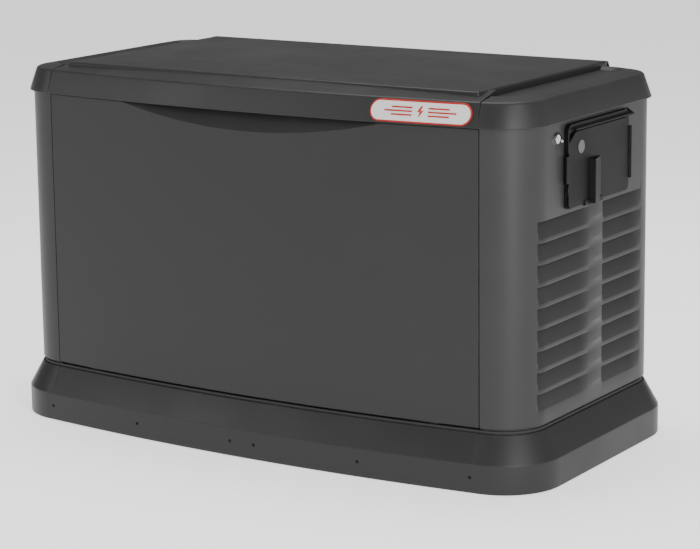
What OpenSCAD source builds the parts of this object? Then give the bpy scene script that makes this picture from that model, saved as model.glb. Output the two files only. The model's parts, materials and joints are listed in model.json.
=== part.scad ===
/* [Overall size] */
// Length of the base from left to right, mm
base_length = 1228; // [1170:2:1290]
// Width of the base from front to back, mm
base_width = 648; // [610:2:690]
// Height from the ground to the top of the roof, mm
total_height = 732; // [712:2:800]

/* [Enclosure] */
// How far the base fascia stands out beyond the body, mm
flare = 29; // [20:1:34]
// How far the front face bows forward between the seams, mm
bow = 28; // [16:1:36]
// Corner radius of the body at the back, mm
rear_corner = 84; // [60:1:90]
// Distance from the middle to each upright seam of the front door, mm
seam_x = 495; // [470:1:505]
// Height of the base fascia, mm
fascia_height = 110; // [90:1:120]
// Depth of the roof skirt, mm
skirt_depth = 46; // [36:1:52]
// Thickness of the enclosure sheet, mm
sheet = 2; // [1.6:0.1:2.6]
// Thickness of the roof and fascia mouldings, mm
moulding = 3; // [2.4:0.1:4]

/* [Front door] */
// Height of the finger scoop below the roof skirt, mm
scoop_height = 38; // [20:1:50]
// Half width of the finger scoop, mm
scoop_half = 430; // [300:5:450]

/* [Louvres] */
// Number of louvre rows on each end
louvre_rows = 9; // [4:1:9]
// Height of the top louvre above the ground, mm
louvre_top = 498; // [480:1:500]
// Pitch of the louvre rows, mm
louvre_pitch = 40.2; // [38:0.1:42]
// Height of one louvre, mm
louvre_height = 33; // [26:1:35]
// How deep each louvre is scooped inward, mm
louvre_depth = 17; // [10:1:20]

/* [Access cover] */
// Width of the access cover on the right end, mm
cover_width = 256; // [230:1:260]
// Height of the access cover, mm
cover_height = 156; // [140:1:160]
// Radius of the round window, mm
window_r = 12.5; // [8:0.5:16]

/* [Engine and alternator] */
// Height of the crankshaft above the ground, mm
crank_z = 250; // [248:1:256]
// Outer radius of the alternator body, mm
stator_r = 125; // [122:1:128]
// Radius of the spinning rotor, mm
rotor_r = 78; // [70:1:80]
// Radius of the muffler, mm
muffler_r = 75; // [60:1:80]
// Length of the battery, mm
battery_length = 195; // [180:1:200]

/* [Hidden] */
$fn = 64;
eps = 0.01;
hl = base_length / 2 - flare;
hw = base_width / 2 - flare;
bow_half = 490;
front_r = (bow_half * bow_half + bow * bow) / (2 * bow);
front_cy = front_r - hw;
front_corner = hl - seam_x;
seam_y = round((front_cy - sqrt(front_r * front_r - seam_x * seam_x)) * 10) / 10;
fc_y = seam_y + front_corner;
rc_x = hl - rear_corner;
rc_y = hw - rear_corner;
arc_a = round(asin((seam_x + 60) / front_r) * 100) / 100;
gap = 1.5;
body_z = fascia_height + 6;
rim_z = fascia_height + 2;
knuckle_z = total_height - 14;
skirt_z = knuckle_z - skirt_depth;
body_top = skirt_z + 4;
panel_x = 475;
panel_front = -hw + 63;
panel_rear = hw - 15;
bevel_rise = 0.178;
flange_in = 38;
rib_z = body_top + 0.2;
floor_z = 26;
crank_y = 20;
bed_z = 76;
bed_top = 84;
wall_x = 298;
fire_x = -382;
opening_y0 = -95;
opening_y1 = 125;
opening_z0 = 520;
opening_z1 = 645;
cover_y0 = -112;
cover_z0 = 508;
cover_y1 = cover_y0 + cover_width;
cover_z1 = cover_z0 + cover_height;
lock_y = -138;
lock_z = 641;
cam_length = 29;
pivot_y = hw + 14;
pivot_z = skirt_z - 8;
hinge_x = 330;
cable_y0 = -195;
cable_y1 = -70;
cable_z = 112;
post_x = 362;
post_top = 233;
hose_y = 200;
hose_z = 485;
port_r = 205;
side = 0.70710678;
key_z = 640;
lever_x = 538.5;
lever_z = 585;
muffler_x = -480;
muffler_z = 230;
filter_x = 130;
cleaner_x = 68;
fill_x = 52;
fill_y = -80;
fill_z = 330;
intake_x = 125;
shell_grey = [0.31, 0.31, 0.30];
end_grey = [0.36, 0.36, 0.36];
black = [0.10, 0.10, 0.10];
cast = [0.62, 0.63, 0.64];
steel = [0.55, 0.56, 0.58];
dark_steel = [0.22, 0.22, 0.23];
copper = [0.72, 0.42, 0.22];
rubber = [0.06, 0.06, 0.06];
red = [0.75, 0.10, 0.08];
white = [0.88, 0.88, 0.86];

// ---- plain shapes ----
module block(a, b) {
  translate(a) cube([b[0] - a[0], b[1] - a[1], b[2] - a[2]]);
}
module rod_x(r, x0, x1, y, z) {
  translate([x0, y, z]) rotate([0, 90, 0]) cylinder(r = r, h = x1 - x0);
}
module rod_y(r, y0, y1, x, z) {
  translate([x, y0, z]) rotate([-90, 0, 0]) cylinder(r = r, h = y1 - y0);
}
module rod_z(r, z0, z1, x, y) {
  translate([x, y, z0]) cylinder(r = r, h = z1 - z0);
}
module both_ends() {
  children();
  mirror([1, 0, 0]) children();
}

// ---- sweeps that follow the plan of the enclosure ----
module sweep_arc() {
  translate([0, front_cy, 0]) rotate([0, 0, -90 - arc_a])
    rotate_extrude(angle = 2 * arc_a, $fn = 900) translate([front_r, 0]) children();
}
// the bowed front, cut square at x0 and x1
module sweep_front(x0, x1) {
  intersection() {
    sweep_arc() children();
    block([x0, -hw - 60, -10], [x1, 0, total_height + 60]);
  }
}
module sweep_front_corner() {
  translate([seam_x, fc_y, 0]) mirror([0, 1, 0])
    rotate_extrude(angle = 90) translate([front_corner, 0]) children();
}
module sweep_rear_corner() {
  translate([rc_x, rc_y, 0]) rotate_extrude(angle = 90) translate([rear_corner, 0]) children();
}
module sweep_end() {
  translate([hl, rc_y, 0]) rotate([90, 0, 0]) linear_extrude(rc_y - fc_y) children();
}
module sweep_rear(x0, x1) {
  translate([x0, hw, 0]) rotate([90, 0, 90]) linear_extrude(x1 - x0) children();
}
module sweep_right(x0) {
  sweep_front_corner() children();
  sweep_end() children();
  sweep_rear_corner() children();
  sweep_rear(x0, rc_x) children();
}
module rect(x0, x1, z0, z1) {
  translate([x0, z0]) square([x1 - x0, z1 - z0]);
}
module plan(off) {
  far = 200;
  difference() {
    intersection() {
      translate([0, front_cy]) circle(r = front_r + off, $fn = 900);
      translate([-hl - off, -hw - off]) square([2 * (hl + off), 2 * (hw + off)]);
    }
    for (s = [0, 1]) mirror([s, 0]) {
      translate([seam_x, fc_y - far]) square([far, far]);
      translate([rc_x, rc_y]) square([far, far]);
    }
  }
  for (s = [-1, 1]) {
    translate([s * seam_x, fc_y]) circle(r = front_corner + off);
    translate([s * rc_x, rc_y]) circle(r = rear_corner + off);
  }
}

// ---- base ----
module base_tray() {
  color(dark_steel) for (y = [crank_y - 105, crank_y + 105]) difference() {
    block([-300, y - 25, floor_z - eps], [255, y + 25, floor_z + 20]);
    block([-301, y - 21, floor_z + 1], [256, y + 21, floor_z + 16]);
  }
  color(dark_steel) difference() {
    linear_extrude(rim_z) plan(-3);
    translate([0, 0, floor_z]) linear_extrude(rim_z - 4 - floor_z) plan(-7);
    translate([0, 0, rim_z - 5]) linear_extrude(6) plan(-20);
    for (i = [-3 : 3]) {
      for (j = [-1, 1]) {
        block([i * 150 - 71, j * 126 - 120, -1], [i * 150 + 71, j * 126 + 120, floor_z - 6]);
      }
    }
    for (x = [-510, 510]) {
      for (y = [-150, 150]) rod_z(7, -1, floor_z + 1, x, y);
    }
    rod_z(34, -1, floor_z + 1, 455, 190);
  }
}
module fascia_profile() {
  top = fascia_height;
  knee = fascia_height - 51;
  polygon([
    [-2.9, top], [0, top], [flare - 2, knee + 5], [flare, knee], [flare, 6],
    [flare - 5, 0], [-2.9, 0], [-2.9, moulding], [flare - 6, moulding],
    [flare - moulding, 7], [flare - moulding, knee - 1], [-1, top - 4], [-2.9, top - 4]
  ]);
}
module base_fascia_front() {
  color(shell_grey) sweep_front(-seam_x + 0.4, seam_x - 0.4) fascia_profile();
}
module base_fascia_rear() {
  color(shell_grey) sweep_rear(-seam_x + 0.4, seam_x - 0.4) fascia_profile();
}
module fascia_end() {
  difference() {
    sweep_right(seam_x + 0.4) fascia_profile();
    block([seam_x - 1, -hw - 40, -1], [seam_x + 0.4, 0, total_height]);
  }
}
module base_fascia_right() {
  color(shell_grey) fascia_end();
}
module base_fascia_left() {
  color(shell_grey) mirror([1, 0, 0]) fascia_end();
}

// ---- body panels ----
module wall_profile() {
  rect(-sheet, 0, body_z, body_top);
  rect(-flange_in, 0, body_top - sheet, body_top);
  rect(-8, 0, body_z, body_z + sheet);
  rect(-8, -8 + sheet, rim_z, body_z + sheet);
  rect(-30, -8 + sheet, rim_z, rim_z + sheet);
}
module louvre_windows() {
  for (i = [0 : louvre_rows - 1]) {
    zt = louvre_top - i * louvre_pitch;
    block([hl - 10, -204, zt - louvre_height], [hl + 1, -10, zt]);
    block([hl - 10, 44, zt - louvre_height], [hl + 1, 206, zt]);
  }
}
module louvre_blade(y0, y1, zt) {
  zb = zt - louvre_height;
  translate([0, y1, 0]) rotate([90, 0, 0]) linear_extrude(y1 - y0) polygon([
    [hl, zb], [hl - louvre_depth, zt - 3], [hl - louvre_depth - sheet, zt - 3],
    [hl - sheet, zb - 4], [hl - sheet / 2, zb - 4], [hl - sheet / 2, zb]
  ]);
  for (y = [y0 - 1, y1 - 1]) {
    translate([0, y + 2, 0]) rotate([90, 0, 0]) linear_extrude(2) polygon([
      [hl - sheet / 2, zb - 2], [hl - sheet / 2, zt + 2], [hl - sheet, zt + 2],
      [hl - louvre_depth - sheet, zt - 3], [hl - sheet, zb - 4]
    ]);
  }
}
module louvre_blades() {
  for (i = [0 : louvre_rows - 1]) {
    louvre_blade(-204, -10, louvre_top - i * louvre_pitch);
    louvre_blade(44, 206, louvre_top - i * louvre_pitch);
  }
}
module end_panel_shape() {
  difference() {
    union() {
      sweep_right(seam_x + gap) wall_profile();
      block([seam_x, seam_y, body_z], [seam_x + sheet, seam_y + 44, body_top]);
      sweep_rear(seam_x + gap, seam_x + gap + sheet) rect(-20, 0, body_z, body_top);
    }
    louvre_windows();
    block([540, -128, body_top - sheet - 1], [578, -84, body_top + 1]);
    rod_x(20, hl - 1, hl + 1, lock_y, lock_z);
    rod_x(12, hl - 5, hl + 1, lock_y, lock_z);
  }
  intersection() {
    louvre_blades();
    linear_extrude(skirt_z) plan(-0.2);
  }
}
module right_end_panel() {
  color(end_grey) difference() {
    end_panel_shape();
    block([hl - 5, opening_y0, opening_z0], [hl + 1, opening_y1, opening_z1]);
  }
}
module left_end_panel() {
  color(end_grey) mirror([1, 0, 0]) end_panel_shape();
}
module rear_panel() {
  color(end_grey) difference() {
    union() {
      sweep_rear(-seam_x + gap, seam_x - gap) wall_profile();
      for (x = [-300, 0, 300]) {
        block([x - 12, hw - sheet - 6, body_z + 20], [x + 12, hw - sheet + eps, body_top - 20]);
      }
    }
    rod_y(24, hw - 5, hw + 1, 420, 180);
    rod_y(16, hw - 5, hw + 1, 364, 180);
    for (i = [0 : 5]) {
      block([-470, hw - 5, 250 + i * 30], [-350, hw + 1, 262 + i * 30]);
    }
  }
}
// a big shallow round surface leaning inward at the top of the door
module scoop_cut(grow) {
  lean = 58;
  r = scoop_half * scoop_half / (2 * scoop_height * cos(lean));
  translate([0, -hw, skirt_z - scoop_height]) rotate([lean - 90, 0, 0])
    translate([0, -r, -150]) cylinder(r = r + grow, h = 300, $fn = 900);
}
module front_door() {
  door_z0 = body_z + 1;
  door_z1 = skirt_z - 2;
  a = seam_x - gap;
  color(shell_grey) union() {
    difference() {
      sweep_front(-a, a) rect(-27, 0, door_z0, door_z1);
      scoop_cut(0);
      difference() {
        sweep_front(-a + sheet, a - sheet) rect(-28, -sheet, door_z0 + sheet, door_z1 + 1);
        scoop_cut(sheet);
      }
    }
    for (x = [-380, 380]) {
      block([x - 30, -hw + 26, rim_z + 0.3], [x + 30, -hw + 34, door_z0 + 1]);
    }
  }
}
module front_header() {
  color(dark_steel) sweep_front(-seam_x, seam_x) union() {
    rect(-31, -29, 610, body_top);
    rect(-44, -29, body_top - sheet, body_top);
  }
}
// ---- roof ----
function cap_in() = -min(60, front_corner - 4);
module center_front_profile() {
  top = knuckle_z + (80 - 7) * bevel_rise;
  polygon([
    [9, skirt_z], [-7, knuckle_z], [-80, top], [-80, knuckle_z + 0.3], [-77, knuckle_z + 0.3],
    [-77, top - moulding], [-10, knuckle_z - 2.5], [9 - moulding, skirt_z]
  ]);
  rect(-34, -31, rib_z, knuckle_z + 3);
}
module center_rear_profile() {
  polygon([
    [9, skirt_z], [-7, knuckle_z], [-15, total_height], [-30, total_height],
    [-30, total_height - moulding], [-17, total_height - moulding],
    [-10, knuckle_z - 2.5], [9 - moulding, skirt_z]
  ]);
}
module cap_profile() {
  crest = knuckle_z + (-cap_in() - 14 - 7) * bevel_rise;
  polygon([
    [9, skirt_z], [-7, knuckle_z], [cap_in() + 14, crest], [cap_in() + 4, knuckle_z],
    [cap_in(), knuckle_z], [cap_in(), knuckle_z - 3], [cap_in() + 5, knuckle_z - 3],
    [cap_in() + 14, crest - 3.6], [-10, knuckle_z - 2.5], [9 - moulding, skirt_z]
  ]);
  rect(-34, -31, rib_z, knuckle_z + 2);
}
module roof_center() {
  top = total_height - moulding;
  low = knuckle_z - 3;
  color(shell_grey) union() {
    difference() {
      sweep_front(-seam_x + 0.4, seam_x - 0.4) center_front_profile();
      block([10 - panel_x, panel_front + 8, low - 1], [panel_x - 10, 0, total_height]);
    }
    sweep_rear(-panel_x, panel_x) center_rear_profile();
    sweep_rear(-panel_x + 3, panel_x - 3) rect(-34, -31, rib_z, total_height - 1);
    block([-panel_x, panel_front, top], [panel_x, hw - 20, total_height]);
    block([-panel_x, panel_front, low], [panel_x, panel_front + 3, total_height]);
    both_ends() {
      block([panel_x - 3, panel_front, low - 3.3], [panel_x, hw - 20, total_height]);
      block([panel_x - 3, -170, low - 3.3], [panel_x + 16, 225, low - 0.3]);
    }
  }
}
module roof_cap_shape() {
  difference() {
    sweep_right(panel_x + 1) cap_profile();
    block([seam_x - 1, -hw - 40, 0], [seam_x + 0.4, 0, total_height + 1]);
  }
  intersection() {
    translate([0, 0, knuckle_z - 3]) linear_extrude(3) plan(cap_in() + 1);
    block([panel_x + 1, -hw, 0], [hl, hw, total_height]);
  }
}
module roof_end_cap_right() {
  color(shell_grey) roof_cap_shape();
}
module roof_end_cap_left() {
  color(shell_grey) mirror([1, 0, 0]) roof_cap_shape();
}
module hinge_lid_leaves() {
  color(dark_steel) both_ends() difference() {
    union() {
      rod_x(6, hinge_x - 15, hinge_x + 15, pivot_y, pivot_z);
      block([hinge_x - 15, pivot_y - 8, pivot_z], [hinge_x + 15, pivot_y, skirt_z]);
    }
    rod_x(3.05, hinge_x - 16, hinge_x + 16, pivot_y, pivot_z);
  }
}
module hinge_base_leaves() {
  color(dark_steel) both_ends() union() {
    for (s = [-1, 1]) {
      x = hinge_x + s * 23.5;
      rod_x(6, x - 8, x + 8, pivot_y, pivot_z);
      block([x - 8, hw, pivot_z - 6], [x + 8, pivot_y, pivot_z]);
    }
    block([hinge_x - 31.5, hw, pivot_z - 50], [hinge_x + 31.5, hw + 3, pivot_z - 6]);
    block([hinge_x - 31.5, hw, pivot_z - 12], [hinge_x + 31.5, hw + 4, pivot_z - 6]);
    rod_x(3, hinge_x - 31.5, hinge_x + 31.5, pivot_y, pivot_z);
  }
}
module pill(len, high) {
  square([len - high, high], center = true);
  for (s = [-1, 1]) translate([s * (len - high) / 2, 0]) circle(d = high);
}
// a skin lying on the sloping roof skirt between two heights above it
module skirt_skin(t0, t1) {
  run = 16;
  n = sqrt(run * run + skirt_depth * skirt_depth);
  nx = skirt_depth / n;
  nz = run / n;
  sweep_front(200, seam_x - 0.5) polygon([
    [9 + nx * t0, skirt_z + nz * t0], [-7 + nx * t0, knuckle_z + nz * t0],
    [-7 + nx * t1, knuckle_z + nz * t1], [9 + nx * t1, skirt_z + nz * t1]
  ]);
}
module on_badge() {
  translate([381, -hw + 60, (skirt_z + knuckle_z) / 2 + 0.5]) rotate([90, 0, 0])
    linear_extrude(120) children();
}
module badge_rim() {
  color(red) intersection() {
    skirt_skin(0.12, 1.6);
    on_badge() pill(204, 40);
  }
}
module badge_plate() {
  color(white) intersection() {
    skirt_skin(1.65, 2.6);
    on_badge() pill(198, 34);
  }
}
// ---- right end: lock and access cover ----
module yz(x0, x1) {
  translate([x0, 0, 0]) rotate([90, 0, 90]) linear_extrude(x1 - x0) children();
}
module round_rect(y0, z0, y1, z1, r) {
  translate([y0 + r, z0]) square([y1 - y0 - 2 * r, z1 - z0]);
  translate([y0, z0 + r]) square([y1 - y0, z1 - z0 - 2 * r]);
  for (y = [y0 + r, y1 - r]) {
    for (z = [z0 + r, z1 - r]) translate([y, z]) circle(r = r);
  }
}
module lock_housing_one() {
  difference() {
    union() {
      rod_x(12, hl - 12, hl + 2, lock_y, lock_z);
      rod_x(15, hl - 12, hl - sheet - 0.2, lock_y, lock_z);
    }
    rod_x(8.05, hl - 13, hl + 3, lock_y, lock_z);
  }
}
module lock_housings() {
  color(steel) both_ends() lock_housing_one();
}
module lock_plug() {
  color(steel) difference() {
    union() {
      rod_x(8, hl - 17, hl + 1.4, lock_y, lock_z);
      rod_x(7, hl - 21, hl - 17, lock_y, lock_z);
      block([hl - 21, lock_y - 6, lock_z], [hl - 17, lock_y + 6, lock_z + cam_length]);
    }
    block([hl - 2, lock_y - 1, lock_z - 5], [hl + 3, lock_y + 1, lock_z + 5]);
    rod_x(2, hl - 2, hl + 3, lock_y, lock_z + 3);
  }
}
module lock_catches() {
  color(dark_steel) both_ends() {
    block([hl - 31, -120, lock_z - 13], [hl - 27, -93, rib_z + 22]);
    block([hl - 31, -120, lock_z - 13], [hl - 13, -93, lock_z - 10]);
  }
}
module right_lock_plug() {
  lock_plug();
}
module left_lock_plug() {
  mirror([1, 0, 0]) lock_plug();
}
module access_frame() {
  color(black) difference() {
    union() {
      yz(hl, hl + 4) round_rect(cover_y0, cover_z0 - 2, cover_y1, cover_z1, 13);
      yz(hl, hl + 9) difference() {
        round_rect(cover_y0, cover_z0 + 20, cover_y1 - 12, cover_z1, 13);
        translate([cover_y0 + 3, 0]) square([cover_width, cover_z1 - 12]);
      }
      translate([0, cover_y1, 0]) rotate([90, 0, 0]) linear_extrude(cover_width - 20) polygon([
        [hl, cover_z1], [hl + 15, cover_z1 - 9], [hl + 15, cover_z1 - 12],
        [hl + 4, cover_z1 - 14], [hl, cover_z1 - 14]
      ]);
      for (z = [530, 572, 614]) {
        rod_z(4, z, z + 16, hl + 8, cover_y1 - 4);
        block([hl + 3, cover_y1 - 8, z], [hl + 8, cover_y1, z + 16]);
      }
    }
    yz(hl - 1, hl + 5) square_at(opening_y0, opening_z0, opening_y1, opening_z1);
    block([hl + 4, cover_y0 - 1, 550], [hl + 10, cover_y0 + 4, 612]);
  }
  color(black) rod_z(2, 531, 629, hl + 8, cover_y1 - 4);
}
module square_at(y0, z0, y1, z1) {
  translate([y0, z0]) square([y1 - y0, z1 - z0]);
}
module leaf_outline() {
  y1 = cover_y1 - 9;
  z1 = cover_z1 - 16;
  difference() {
    round_rect(cover_y0 + 4, cover_z0, y1, z1, 9);
    polygon([[cover_y0, z1 - 22], [cover_y0, z1 + 2], [cover_y0 + 60, z1 + 2], [cover_y0 + 30, z1 - 1]]);
  }
}
module access_door() {
  x0 = hl + 4.3;
  x1 = hl + 8.3;
  color(black) difference() {
    union() {
      yz(x0, x1) leaf_outline();
      block([x0 - 0.1, cover_y0 - 6, 556], [x1 + 1, cover_y0 + 5, 606]);
      translate([0, 0, cover_z0 - 2]) linear_extrude(84) polygon([
        [x1 - 1, -24], [x1 + 10, -21], [x1 + 10, -18], [x1 - 1, 24]
      ]);
      block([x0, -46, cover_z0 - 3], [x1 + 2, 26, cover_z0 + 6]);
      for (z = [546.5, 588.5]) {
        rod_z(4, z, z + 25, hl + 8, cover_y1 - 4);
        block([x0, cover_y1 - 12, z], [hl + 8, cover_y1 - 4, z + 25]);
      }
    }
    rod_x(window_r, x0 - 1, x1 + 1, -60, 618);
    rod_z(2.06, 520, 640, hl + 8, cover_y1 - 4);
    translate([0, 0, cover_z0 + 84]) rotate([0, 40, 0]) block([-200, -40, 0], [0, 40, 40]);
  }
}
module access_window() {
  color([0.75, 0.77, 0.78]) rod_x(window_r, hl + 5, hl + 9, -60, 618);
}
// ---- divider walls ----
// clears the inward flanges where the tray rim meets the rear panel
module rear_rim_notch(x) {
  block([x - 1, hw - 32, rim_z - 8], [x + 3, hw, rim_z + 6]);
}
module engine_wall() {
  color(steel) difference() {
    block([wall_x, -240, floor_z], [wall_x + 2, 278, 640]);
    rod_x(110, wall_x - 1, wall_x + 3, crank_y, crank_z);
    rear_rim_notch(wall_x);
    for (y = [cable_y0, cable_y1]) rod_x(9, wall_x - 1, wall_x + 3, y, cable_z);
    rod_x(11, wall_x - 1, wall_x + 3, hose_y, hose_z);
  }
}
module muffler_wall() {
  color(steel) difference() {
    block([fire_x, -236, floor_z], [fire_x + 2, 278, 640]);
    rod_x(100, fire_x - 1, fire_x + 3, crank_y, crank_z);
    rear_rim_notch(fire_x);
    for (s = [-1, 1]) rod_x(20, fire_x - 1, fire_x + 3, crank_y + s * 145, crank_z + 145);
  }
}

// ---- engine ----
module bank(s) {
  translate([0, crank_y, crank_z]) mirror([0, s > 0 ? 0 : 1, 0]) rotate([45, 0, 0]) children();
}
module both_banks() {
  for (s = [-1, 1]) bank(s) children();
}
module vibration_mounts() {
  color(rubber) for (x = [-240, 180]) {
    for (y = [crank_y - 105, crank_y + 105]) {
      rod_z(22, floor_z + 20, bed_z, x, y);
    }
  }
}
module engine_bed() {
  color(dark_steel) difference() {
    union() {
      block([-295, crank_y - 135, bed_z], [226, crank_y + 135, bed_top]);
      for (y = [crank_y - 135, crank_y + 131]) block([-295, y, bed_z - 16], [226, y + 4, bed_top]);
    }
    block([-160, crank_y - 80, bed_z - 1], [-10, crank_y + 80, bed_top + 1]);
    for (x = [60, 150]) block([x - 30, crank_y - 60, bed_z - 1], [x + 30, crank_y + 60, bed_top + 1]);
  }
}
module crankcase() {
  color(cast) difference() {
    union() {
      rod_x(85, 30, 210, crank_y, crank_z);
      block([40, crank_y - 85, 96], [200, crank_y + 85, crank_z]);
      block([36, crank_y - 118, bed_top], [204, crank_y + 118, 97]);
      for (x = [45, 100, 155]) {
        block([x, crank_y - 84, bed_top], [x + 8, crank_y + 110, 150]);
      }
      both_banks() block([78, -46, 40], [172, 46, 105]);
      rod_y(40, crank_y - 92, crank_y - 60, filter_x, 225);
      block([fill_x - 9, fill_y - 10, 140], [fill_x + 9, -60, 170]);
      rod_z(9, 140, fill_z, fill_x, fill_y);
    }
    rod_x(64, 50, 190, crank_y, crank_z);
    rod_x(17.55, 29, 211, crank_y, crank_z);
    both_banks() rod_z(38, 30, 106, 125, 0);
    rod_z(6, 150, fill_z + 1, fill_x, fill_y);
    rod_y(30, crank_y - 93, crank_y - 88, filter_x, 225);
  }
}
module one_cylinder() {
  difference() {
    union() {
      rod_z(46, 105, 185, 125, 0);
      for (i = [0 : 7]) block([76, -49, 109 + i * 9.5], [174, 49, 112 + i * 9.5]);
      block([82, -40, 185], [172, 40, 222]);
      for (i = [0 : 2]) block([71, -49, 187 + i * 11], [171, 49, 190.5 + i * 11]);
      rod_x(18, 70, 83, 0, port_r);
      rod_y(24, 38, 50, 125, port_r);
    }
    rod_z(38, 104, 190, 125, 0);
    rod_x(14, 69, 100, 0, port_r);
  }
}
module cylinders() {
  color(cast) both_banks() one_cylinder();
}
module rocker_covers() {
  color(dark_steel) both_banks() union() {
    translate([0, 0, 222]) linear_extrude(5) round_rect(84, -38, 170, 38, 12);
    translate([0, 0, 227]) linear_extrude(21) round_rect(88, -34, 166, 34, 14);
    for (x = [100, 127, 154]) block([x - 2, -24, 248], [x + 2, 24, 250]);
  }
}
module spark_plugs() {
  color(white) both_banks() union() {
    translate([172, 0, port_r - 1]) rotate([0, 90, 0]) cylinder(r = 9, h = 8, $fn = 6);
    rod_x(6, 180, 194, 0, port_r - 1);
    rod_x(3, 194, 201, 0, port_r - 1);
  }
}
module crankshaft() {
  color(steel) union() {
    difference() {
      rod_x(17.5, 28, 262, crank_y, crank_z);
      rod_x(30, 108, 142, crank_y, crank_z);
    }
    for (x = [94, 141]) difference() {
      rod_x(46, x, x + 15, crank_y, crank_z);
      block([x - 1, crank_y - 50, crank_z + 12], [x + 16, crank_y - 22, crank_z + 50]);
      block([x - 1, crank_y + 22, crank_z + 12], [x + 16, crank_y + 50, crank_z + 50]);
    }
    rod_x(14, 100, 150, crank_y, crank_z + 26);
  }
}
module flywheel_fan() {
  color(cast) difference() {
    union() {
      rod_x(115, 222, 234, crank_y, crank_z);
      rod_x(34, 222, 258, crank_y, crank_z);
      for (a = [0 : 15]) {
        translate([0, crank_y, crank_z]) rotate([a * 22.5, 0, 0])
          translate([0, 62, 0]) rotate([28, 0, 0]) block([233, 0, -1.5], [260, 48, 1.5]);
      }
    }
    rod_x(17.5, 221, 263, crank_y, crank_z);
  }
}
module blower_housing() {
  color(dark_steel) difference() {
    rod_x(150, 210, 286, crank_y, crank_z);
    rod_x(147, 213, 283, crank_y, crank_z);
    rod_x(20, 209, 214, crank_y, crank_z);
    both_banks() block([209, -45, 92], [214, 45, 138]);
    difference() {
      rod_x(95, 282, 287, crank_y, crank_z);
      for (r = [30, 52, 74]) difference() {
        rod_x(r + 2, 281, 288, crank_y, crank_z);
        rod_x(r - 2, 280, 289, crank_y, crank_z);
      }
      for (a = [0 : 3]) {
        translate([0, crank_y, crank_z]) rotate([a * 45, 0, 0]) block([281, -96, -2.5], [288, 96, 2.5]);
      }
    }
  }
}
module starter_motor() {
  y = crank_y - 122;
  z = crank_z - 100;
  color(black) union() {
    rod_x(34, 62, 186, y, z);
    rod_x(28, 186, 204, y, z);
    rod_x(10, 204, 209, y, z);
    block([184, y, z - 30], [196, crank_y - 85, z + 26]);
    rod_x(17, 84, 150, y - 46, z + 14);
    block([90, y - 40, z], [144, y, z + 26]);
    rod_x(4, 150, 184, y - 46, z + 14);
  }
}
module oil_filter() {
  color(white) union() {
    rod_y(37, crank_y - 160, crank_y - 94, filter_x, 225);
    rod_y(30, crank_y - 164, crank_y - 160, filter_x, 225);
    rod_y(29, crank_y - 94, crank_y - 88, filter_x, 225);
  }
}
module dipstick() {
  color(red) union() {
    rod_z(13, fill_z, fill_z + 10, fill_x, fill_y);
    block([fill_x - 11, fill_y - 2.5, fill_z + 9], [fill_x + 11, fill_y + 2.5, fill_z + 24]);
    rod_z(2, 175, fill_z + 1, fill_x, fill_y);
  }
}
module intake_mixer() {
  z = crank_z + 180;
  color(cast) union() {
    difference() {
      rod_y(16, crank_y - 140, crank_y + 140, intake_x, z);
      both_banks() block([60, -200, 90], [190, 50, 400]);
      rod_y(12, crank_y - 140, crank_y + 140, intake_x, z);
    }
    difference() {
      union() {
        block([intake_x - 24, crank_y - 24, z - 2], [intake_x + 24, crank_y + 24, z + 24]);
        rod_z(30, z + 20, z + 70, intake_x, crank_y);
        rod_x(11, intake_x, intake_x + 42, crank_y, z + 34);
      }
      rod_z(20, z - 1, z + 71, intake_x, crank_y);
      rod_y(12, crank_y - 30, crank_y + 30, intake_x, z);
    }
  }
}
module air_cleaner_base() {
  z = crank_z + 250;
  color(black) difference() {
    block([cleaner_x, -80, z], [240, 120, z + 50]);
    block([cleaner_x + 3, -77, z + 3], [237, 117, z + 51]);
    rod_z(20, z - 1, z + 4, intake_x, crank_y);
  }
  color(black) for (x = [cleaner_x + 3, 227]) {
    for (y = [-77, 107]) block([x, y, z + 2], [x + 10, y + 10, z + 30]);
  }
}
module air_filter() {
  z = crank_z + 280;
  color(white) difference() {
    block([cleaner_x + 5, -75, z], [235, 115, z + 32]);
    for (i = [0 : 7]) block([84 + i * 18, -70, z + 26], [90 + i * 18, 110, z + 33]);
  }
}
module air_cleaner_cover() {
  z = crank_z + 300;
  color(black) union() {
    difference() {
      block([cleaner_x, -80, z], [240, 120, z + 26]);
      block([cleaner_x + 3, -77, z - 1], [237, 117, z + 23]);
    }
    difference() {
      block([cleaner_x + 12, -68, z + 25], [228, 108, z + 34]);
      for (i = [0 : 3]) block([94 + i * 34, -56, z + 30], [108 + i * 34, 96, z + 35]);
    }
  }
}
module muffler_body() {
  rod_y(muffler_r, -170, 190, muffler_x, muffler_z);
}
module exhaust_pipes() {
  z = crank_z + port_r * side;
  bend = 40;
  color(steel) for (s = [-1, 1]) {
    y = crank_y + s * port_r * side;
    difference() {
      union() {
        rod_x(16, muffler_x + bend, 70, y, z);
        rod_x(26, 62, 70, y, z);
        translate([muffler_x + bend, y, z - bend]) rotate([90, 0, 0]) rotate([0, 0, 90])
          rotate_extrude(angle = 90) translate([bend, 0]) circle(r = 16);
        rod_z(16, muffler_z, z - bend, muffler_x, y);
        rod_z(20, muffler_z, muffler_z + muffler_r + 8, muffler_x, y);
      }
      muffler_body();
      rod_x(13, 20, 71, y, z);
    }
  }
}
module muffler() {
  color(steel) difference() {
    union() {
      muffler_body();
      for (y = [-171, 186]) rod_y(muffler_r + 3, y, y + 5, muffler_x, muffler_z);
      rod_x(22, muffler_x - muffler_r - 8, muffler_x, 10, muffler_z);
      for (y = [-110, 130]) {
        block([muffler_x - 50, y - 3, floor_z], [muffler_x + 50, y + 3, muffler_z - 30]);
        block([muffler_x - 50, y - 15, floor_z], [muffler_x + 50, y + 15, floor_z + 4]);
      }
    }
    rod_x(18, muffler_x - muffler_r - 9, muffler_x - 20, 10, muffler_z);
  }
}

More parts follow.
